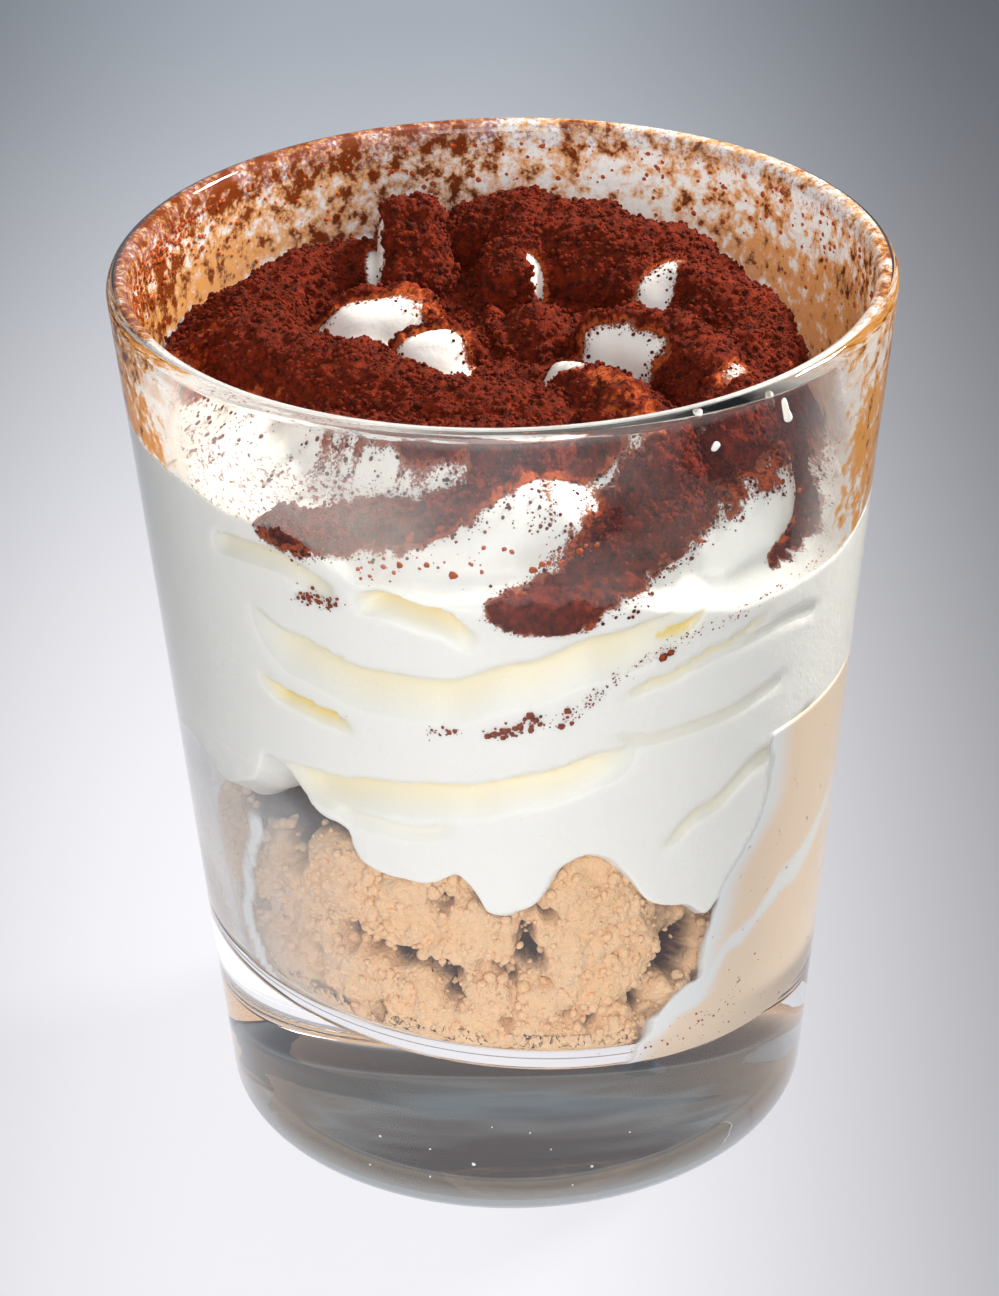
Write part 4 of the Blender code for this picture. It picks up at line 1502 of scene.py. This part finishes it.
@dataclass(frozen=True)
class Trail:
    """Specks of powder strewn along a line on the inner wall.

    The path holds azimuths and heights in mm, spread is how far specks stray from it, in mm.
    """

    path: tuple[tuple[float, float], ...]
    count: int
    spread: float
    sizes: tuple[float, float]

    def grains(self, shape: GlassShape, chance: random.Random) -> list[Grain]:
        """Strew the specks.

        Args:
            shape: Sizes of the glass.
            chance: Seeded chance.

        Returns:
            One flat grain for each speck.
        """
        made = []
        for _ in range(self.count):
            along = chance.random() * (len(self.path) - 1)
            leg = int(along)
            share = along - leg
            azimuth, height = (
                start + (end - start) * share for start, end in zip(self.path[leg], self.path[leg + 1])
            )
            height = (height + chance.gauss(0.0, self.spread)) * MM
            azimuth += chance.gauss(0.0, self.spread) * DEGREES_PER_MM
            size = drawn(self.sizes, 2.5, chance) * MM
            height = min(max(height, shape.floor), shape.height - shape.wall)
            backed = height < contact_height(azimuth)
            reach = SPECK_REACH if backed else -0.3 * size
            place = polar(azimuth, shape.inner(height) + reach, height)
            made.append(Grain(place, size, Vector((place.x, place.y, 0.0)).normalized(), 0.5))
        return made


# How far specks that cream or film backs reach into the wall, so that they show.
SPECK_REACH = 0.3 * MM

TRAILS = (
    Trail(((-13.5, 61.2), (-8.5, 61.2)), 26, 0.35, (0.06, 0.30)),
    Trail(((-4.5, 60.8), (2.0, 62.2), (10.5, 63.0)), 90, 0.5, (0.06, 0.42)),
    Trail(((9.0, 62.5), (13.9, 65.6), (21.9, 68.7), (30.5, 70.4), (42.0, 71.1),
        (58.0, 72.0)), 330, 0.5, (0.03, 0.13)),
    Trail(((-33.5, 74.4), (-27.0, 74.6)), 90, 0.5, (0.05, 0.30)),
    Trail(((-24.0, 78.8), (-12.0, 80.6), (4.0, 80.6), (12.0, 82.0)), 60, 0.9, (0.06, 0.36)),
    Trail(((19.0, 19.6), (32.0, 19.4), (46.0, 21.5)), 60, 1.4, (0.05, 0.18)),
    Trail(((46.0, 30.0), (66.0, 36.0)), 24, 5.0, (0.05, 0.15)),
    Trail(((58.0, 78.0), (66.0, 86.0), (74.0, 92.0)), 160, 3.0, (0.06, 0.30)),
    Trail(((70.0, 90.0), (120.0, 91.0), (180.0, 91.5), (240.0, 91.0),
        (292.0, 90.0)), 700, 3.0, (0.06, 0.36)),
    Trail(((236.0, 92.5), (262.0, 92.5), (290.0, 91.0)), 700, 2.4, (0.06, 0.34)),
)

# Single larger specks on the wall: azimuth, height and radius in mm.
SPECKS = (
    (24.1, 68.2, 0.5), (25.4, 68.6, 0.45), (-16.2, 80.3, 0.36), (-12.1, 80.6, 0.34), (-8.2, 79.6, 0.5),
    (3.5, 80.2, 0.42), (4.8, 80.8, 0.36), (10.3, 81.9, 0.34), (-2.9, 61.3, 0.42), (2.8, 63.4, 0.5),
    (7.8, 61.9, 0.4),
)

# The cream that ran over the rim, from its start down the outside: azimuth, height and radius in mm.
RIM_DRIP = ((41.2, 94.2, 0.25), (41.5, 93.6, 0.35), (42.0, 92.6, 0.4), (42.5, 91.8, 0.5), (42.7, 91.3, 0.45))

# Left edge of the coffee cream that ran down on the right: height in mm and azimuth.
COFFEE_EDGE = (
    (10.0, 22.0), (19.0, 22.0), (22.5, 26.0), (23.5, 34.0), (27.6, 35.5), (36.0, 38.5), (46.0, 49.0),
)

# Middle of the milk-white stroke across it: azimuth and height in mm.
MILK_STROKE = ((24.0, 22.0), (35.0, 24.6), (43.0, 29.5), (58.0, 33.5), (80.0, 38.0))

# Middle of the smear on the left: height in mm and azimuth.
MILK_SMEAR = ((22.0, -50.0), (26.0, -55.0), (30.0, -57.0), (35.0, -55.0), (44.0, -50.0))

# Dots of cream and dust on the outside: azimuth, height and radius in mm.
OUTER_DOTS = (
    (29.8, 91.4, 0.5), (-27.0, 8.7, 0.14), (-16.9, 8.4, 0.12), (-8.7, 7.0, 0.2), (13.7, 6.0, 0.15),
    (5.8, 9.0, 0.1),
    (-17.3, 4.6, 0.12), (-29.9, 4.2, 0.12), (2.0, 11.4, 0.1), (21.0, 9.6, 0.1), (-5.0, 12.2, 0.09),
    (10.0, 3.8, 0.1),
)


@dataclass
class GlassResidue:
    """Films, stains and specks on the inner wall."""

    shape: GlassShape = SHAPE
    step: float = 0.7 * MM
    thickness: float = 0.04 * MM
    lower_reach: float = 0.24 * MM
    rim_depth: float = 0.06 * MM
    speck_depths: tuple[float, float] = (0.28, 0.05)
    drop_voxel: float = 0.1 * MM
    amounts: tuple[str, ...] = ("cover", "tan", "grime", "gold", "rim")

    def sheet(
        self, name: str, low: float, high: float, offset: float,
        cover: Callable[[float, float], dict[str, float]],
    ) -> bpy.types.Object:
        """A thin shell on the wall where there is any cover.

        Args:
            name: Name of the piece.
            low: Lowest height.
            high: Highest height.
            offset: Distance outside the inner wall.
            cover: Amounts at an azimuth in degrees and a height in metres.

        Returns:
            The piece, undressed.
        """
        steps = round((high - low) / self.step)
        heights = [low + (high - low) * index / steps for index in range(steps + 1)]
        profile = [(self.shape.inner(z) + offset, z) for z in heights]
        if high > self.shape.height - self.shape.wall:
            lip = 0.5 * self.shape.wall
            reach = lip - self.rim_depth
            for angle in (math.radians(turn) for turn in range(170, 60, -20)):
                x = self.shape.rim_radius - lip + reach * math.cos(angle)
                profile.append((x, self.shape.height - lip + reach * math.sin(angle)))
        bm = turned(profile, round(math.tau * 36.0 * MM / self.step))
        layers = {key: bm.verts.layers.float.new(key) for key in self.amounts}
        for vert in bm.verts:
            if vert.co.z < 0.5 * self.shape.height:
                radius = vert.co.xy.length
                vert.co.xy *= (self.shape.hollow(vert.co.x, vert.co.z) + offset) / radius
            found = cover(azimuth_of(vert.co.x, vert.co.y), vert.co.z)
            for key, layer in layers.items():
                vert[layer] = found.get(key, 0.0)
        empty = [
            face for face in bm.faces
            if all(vert[layers["cover"]] < 0.02 for vert in face.verts)
        ]
        bmesh.ops.delete(bm, geom=empty, context="FACES")
        grown = bmesh.ops.extrude_face_region(bm, geom=list(bm.faces), use_keep_orig=True)
        for item in grown["geom"]:
            if isinstance(item, bmesh.types.BMVert):
                item.co.xy *= 1.0 - self.thickness / item.co.xy.length
        bmesh.ops.recalc_face_normals(bm, faces=bm.faces)
        return add_object(name, mesh_of(bm, name))

    def upper_amounts(self, azimuth: float, height: float) -> dict[str, float]:
        """Film above the cream: a light veil in front, spotted with cocoa and coffee at the back."""
        above = (height - contact_height(azimuth)) / MM
        place = polar(azimuth, 36.0 * MM, height)
        clear_front = ramp(46.0, 72.0, abs(azimuth))
        started = ramp(-1.5, 1.0, above)
        left = ramp(-20.0, -95.0, azimuth)
        top = ramp(87.0, 95.0, height / MM)
        low = ramp(91.0, 84.0, height / MM)
        cover = started * (0.03 + 0.66 * clear_front + 0.05 * rough(place, 9.0 * MM))
        cover += 0.45 * ramp(93.6, 94.8, height / MM) * (1.0 - clear_front)
        grime = started * (0.42 * clear_front + 0.06 * left + 0.02 * top + 0.08 * rough(place, 7.0 * MM, 3.0))
        haze = ramp(-66.0, -52.0, azimuth) * ramp(-2.0, -25.0, azimuth)
        haze *= ramp(78.5, 81.5, height / MM) * ramp(93.0, 88.0, height / MM)
        cover += 0.16 * haze
        gold = grime + clear_front * (0.05 + 0.12 * low * ramp(160.0, 110.0, abs(azimuth)))
        gold += 0.05 * rough(place, 10.0 * MM)
        return {
            "cover": max(cover, 0.0), "tan": 0.10 + 0.2 * low, "grime": grime, "gold": gold,
            "rim": top * (0.16 + 0.22 * clear_front + 0.12 * left) + 0.37 * haze,
        }

    def lower_amounts(self, azimuth: float, height: float) -> dict[str, float]:
        """Coffee-coloured cream run down over the crumbs on the right, and a smear on the left."""
        z = height / MM
        place = polar(azimuth, 36.0 * MM, height)
        wobble = 1.2 * rough(place, 7.0 * MM) + 0.7 * rough(place, 2.2 * MM, 2.0)
        edge = between(COFFEE_EDGE, z)
        right = ramp(-1.2, 1.2, azimuth - edge + wobble) * ramp(60.0, 52.0, z) * ramp(150.0, 110.0, azimuth)
        stroke = ramp(1.0, 0.5, abs(z - between(MILK_STROKE, azimuth)) / 2.0 + 0.3 * wobble)
        stroke *= ramp(23.0, 28.0, azimuth) * ramp(82.0, 72.0, azimuth)
        left = ramp(1.0, -1.0, abs(z - 26.5) / 5.5 + abs(azimuth + 72.0) / 9.0 - 1.0 + 0.3 * wobble)
        smear = ramp(1.0, 0.4, abs(azimuth - between(MILK_SMEAR, z)) / 2.4 + 0.25 * wobble)
        smear *= ramp(21.0, 24.0, z) * ramp(46.0, 43.0, z)
        haze = 0.30 * ramp(-22.0, -50.0, azimuth) * ramp(-100.0, -88.0, azimuth) * ramp(52.0, 46.0, z)
        cover = max(1.9 * right, 1.9 * stroke, 0.7 * left, 1.5 * smear, haze)
        floor = (self.shape.floor + self.shape.lift(place.x, self.shape.floor)) / MM
        cover *= ramp(floor + 0.3, floor + 0.9, z)
        tan = right * ramp(0.0, 7.0, azimuth - edge) * (1.0 - 0.9 * stroke) + 0.35 * left
        grime = 0.33 * right * (1.0 - stroke) + 0.3 * left
        return {"cover": cover, "tan": tan, "grime": grime, "gold": 0.2 * left}

    def specks(self, finish: CocoaPowder, chance: random.Random) -> bpy.types.Object:
        """Specks of cocoa on the inner wall.

        Args:
            finish: Finish of the powder.
            chance: Seeded chance.

        Returns:
            The piece.
        """
        grains = [grain for trail in TRAILS for grain in trail.grains(self.shape, chance)]
        for azimuth, height, size in SPECKS:
            place = polar(azimuth, self.shape.inner(height * MM) + SPECK_REACH, height * MM)
            grains.append(Grain(place, size * MM, Vector((place.x, place.y, 0.0)).normalized(), 0.6))
        piece = add_object("wall_specks", scattered("wall_specks", grains, 1))
        backed, open_wall = self.speck_depths
        depths = []
        for x, y, z in (vert.co for vert in piece.data.vertices):
            depths.append(open_wall if z > contact_height(azimuth_of(x, y)) else backed)
        set_amounts(piece.data, "depth", depths)
        return dress(piece, finish.material(), Slot.COCOA)

    def drops(self, finish: WhippedCream) -> bpy.types.Object:
        """The run of cream over the rim and the dots on the outside.

        Args:
            finish: Finish of the cream.

        Returns:
            The piece.
        """
        rope = [
            (polar(azimuth, self.shape.outer(z * MM), z * MM), radius * MM)
            for azimuth, z, radius in smooth_path(RIM_DRIP, 5)
        ]
        mesh = remeshed([rope_mesh([rounded_ends(rope)])], self.drop_voxel, 2)
        grains = []
        for azimuth, height, size in OUTER_DOTS:
            place = polar(azimuth, self.shape.outer(height * MM), height * MM)
            grains.append(Grain(place, size * MM, Vector((place.x, place.y, 0.0)).normalized(), 0.5))
        bm = bmesh.new()
        bm.from_mesh(mesh)
        bm.from_mesh(scattered("dots", grains, 2))
        piece = add_object("milk_drops", mesh_of(bm, "milk_drops"))
        for name in ("fold", "dust"):
            set_amounts(piece.data, name, [0.0] * len(piece.data.vertices))
        return dress(piece, finish.material(), Slot.CREAM)

    def build(self, finish: WallFilm) -> list[bpy.types.Object]:
        """Smear the wall.

        Args:
            finish: Finish of the films.

        Returns:
            The pieces.
        """
        material = finish.material()
        top = self.shape.height - 0.5 * self.shape.wall
        upper = self.sheet("upper_film", 68.0 * MM, top, self.rim_depth, self.upper_amounts)
        lower = self.sheet("lower_film", 14.0 * MM, 54.0 * MM, self.lower_reach, self.lower_amounts)
        return [dress(piece, material, Slot.CREAM) for piece in (upper, lower)]


@dataclass(frozen=True)
class Softbox:
    """A square soft light that looks at the middle of the glass."""

    name: str
    place: tuple[float, float, float]
    size: float
    power: float
    colour: str = "#FFFFFF"

    def build(self) -> None:
        """Hang the light."""
        light = bpy.data.lights.new(self.name, "AREA")
        light.energy = self.power
        light.size = self.size
        light.color = linear(self.colour)[:3]
        lamp = add_object(self.name, light)
        lamp.location = self.place
        aim = Vector((0.0, 0.0, 0.055)) - Vector(self.place)
        lamp.rotation_euler = aim.to_track_quat("-Z", "Y").to_euler()


@dataclass(frozen=True)
class Studio:
    """A pale floor, soft lights and a camera where the photographer stood."""

    camera_place: tuple[float, float, float] = (-1.0625, -381.492, 262.129)
    elevation: float = 28.943
    roll: float = -1.1334
    lens: float = 114.02
    sensor: float = 36.0
    floor_radius: float = 2.0
    floor_gap: float = 0.2 * MM
    # Near, far and side colours of the floor: the darker ones are painted shade of the light's falloff.
    near: str = "#F6F5FA"
    far: str = "#9AA2AC"
    side: str = "#2C353E"
    sheet: str = "#48484C"
    floor_glow: float = 0.92
    fade_back: tuple[float, float] = (0.02, 0.36)
    fade_right: tuple[float, float] = (-0.01, 0.10)
    fade_left: tuple[float, float] = (-0.03, -0.13)
    room_light: float = 0.8
    horizon: str = "#C8CDD6"
    zenith: str = "#B4B8BE"
    front: str = "#B9BDC2"
    bands: tuple[tuple[float, str], ...] = (
        (0.26, "#B2BAC3"), (0.47, "#B4B8BC"), (0.545, "#7C746E"), (0.566, "#86807A"), (0.573, "#66625F"),
        (0.579, "#7F878C"), (0.584, "#525257"), (0.600, "#4C4C51"), (0.66, "#56585D"), (0.76, "#B0B2B6"),
    )
    lights: tuple[Softbox, ...] = (
        Softbox("key", (0.27, 0.17, 0.36), 0.08, 3.8, "#FFFAF0"),
        Softbox("fill", (0.0, -0.65, 0.28), 0.50, 2.8, "#FFFEFC"),
        Softbox("top", (0.05, 0.10, 0.70), 0.40, 0.5, "#FFFFFF"),
    )

    def camera(self) -> None:
        """Set up the camera."""
        tilt, turn = math.radians(self.elevation), math.radians(self.roll)
        back = Vector((0.0, -math.cos(tilt), math.sin(tilt)))
        right, up = Vector((1.0, 0.0, 0.0)), Vector((0.0, math.sin(tilt), math.cos(tilt)))
        across = math.cos(turn) * right + math.sin(turn) * up
        upward = -math.sin(turn) * right + math.cos(turn) * up
        pose = Matrix((across, upward, back)).transposed().to_4x4()
        pose.translation = Vector(self.camera_place) * MM
        data = bpy.data.cameras.new("camera")
        data.lens = self.lens
        data.sensor_width = self.sensor
        data.clip_start = 0.01
        camera = add_object("camera", data)
        camera.matrix_world = pose
        bpy.context.scene.camera = camera

    def floor(self) -> None:
        """Lay the floor, which glows softly like a light table, with painted shade towards the back and the
        sides.
        """
        bm = bmesh.new()
        bmesh.ops.create_circle(bm, cap_ends=True, segments=96, radius=self.floor_radius)
        bmesh.ops.translate(bm, verts=bm.verts, vec=(0.0, 0.0, -self.floor_gap))
        floor = add_object("floor", mesh_of(bm, "floor"))
        material, nodes = new_material("white acrylic sheet")
        parts = nodes.add("ShaderNodeSeparateXYZ", links={0: nodes.place()})
        # Painted shade: the colour darkens towards the back and to both sides, as the light would fall off.
        shade = nodes.blend(nodes.ramp(parts["Y"], *self.fade_back, eased=True), self.near, self.far)
        right = nodes.ramp(parts["X"], *self.fade_right, eased=True)
        left = nodes.ramp(parts["X"], *self.fade_left, high=0.75, eased=True)
        colour = nodes.blend(nodes.combine("ADD", right, left), shade, self.side)
        glow = nodes.add("ShaderNodeEmission", values={"Strength": self.floor_glow}, links={0: colour})[0]
        matt = nodes.add("ShaderNodeBsdfDiffuse", values={"Color": linear(self.sheet)})[0]
        nodes.surface(nodes.add("ShaderNodeAddShader", links={0: glow, 1: matt})[0])
        floor.data.materials.append(material)

    def world(self) -> None:
        """Shade the room: pale at the horizon, dim behind and above it, soft overhead."""
        world = bpy.data.worlds.new("room")
        bpy.context.scene.world = world
        world.use_nodes = True
        nodes = Nodes(world.node_tree)
        way = nodes.add("ShaderNodeTexCoord")["Generated"]
        parts = nodes.add("ShaderNodeSeparateXYZ", links={0: way})
        bands = nodes.add("ShaderNodeValToRGB", links={0: parts["Z"]})[0]
        stops = bands.node.color_ramp.elements
        stops[0].position, stops[0].color = 0.0, linear(self.horizon)
        stops[1].position, stops[1].color = 1.0, linear(self.zenith)
        for position, code in self.bands:
            stops.new(position).color = linear(code)
        room = nodes.blend(nodes.ramp(parts["Y"], 0.05, 0.45, eased=True), self.front, bands)
        light = nodes.add("ShaderNodeBackground", values={"Strength": self.room_light}, links={0: room})[0]
        nodes.add("ShaderNodeOutputWorld", links={"Surface": light})

    def build(self) -> None:
        """Set up camera, floor, room and lights."""
        self.camera()
        self.floor()
        self.world()
        for light in self.lights:
            light.build()
        scene = bpy.context.scene
        scene.view_settings.view_transform = "Standard"
        scene.cycles.max_bounces = 8
        scene.cycles.diffuse_bounces = 2
        scene.cycles.transmission_bounces = 8
        scene.cycles.transparent_max_bounces = 12
        scene.cycles.caustics_reflective = False


def main() -> None:
    """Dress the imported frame."""
    logging.basicConfig(level=logging.INFO, format="%(name)s %(message)s")
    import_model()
    Studio().build()
    Tumbler().build(SodaGlass())
    cream = PipedCream().build(WhippedCream())
    chance = random.Random(SEED)
    cocoa = CocoaLayer()
    cocoa.crumbs(cocoa.build(cream, CocoaPowder()), CocoaPowder(), chance)
    cocoa.grains(cream, CocoaPowder(), chance)
    heap = BiscuitHeap()
    heap.crumbs(heap.build(BakedCrumb()), BakedCrumb(), chance)
    residue = GlassResidue()
    residue.build(WallFilm())
    residue.specks(CocoaPowder(), chance)
    residue.drops(WhippedCream())


if __name__ == "__main__":
    main()
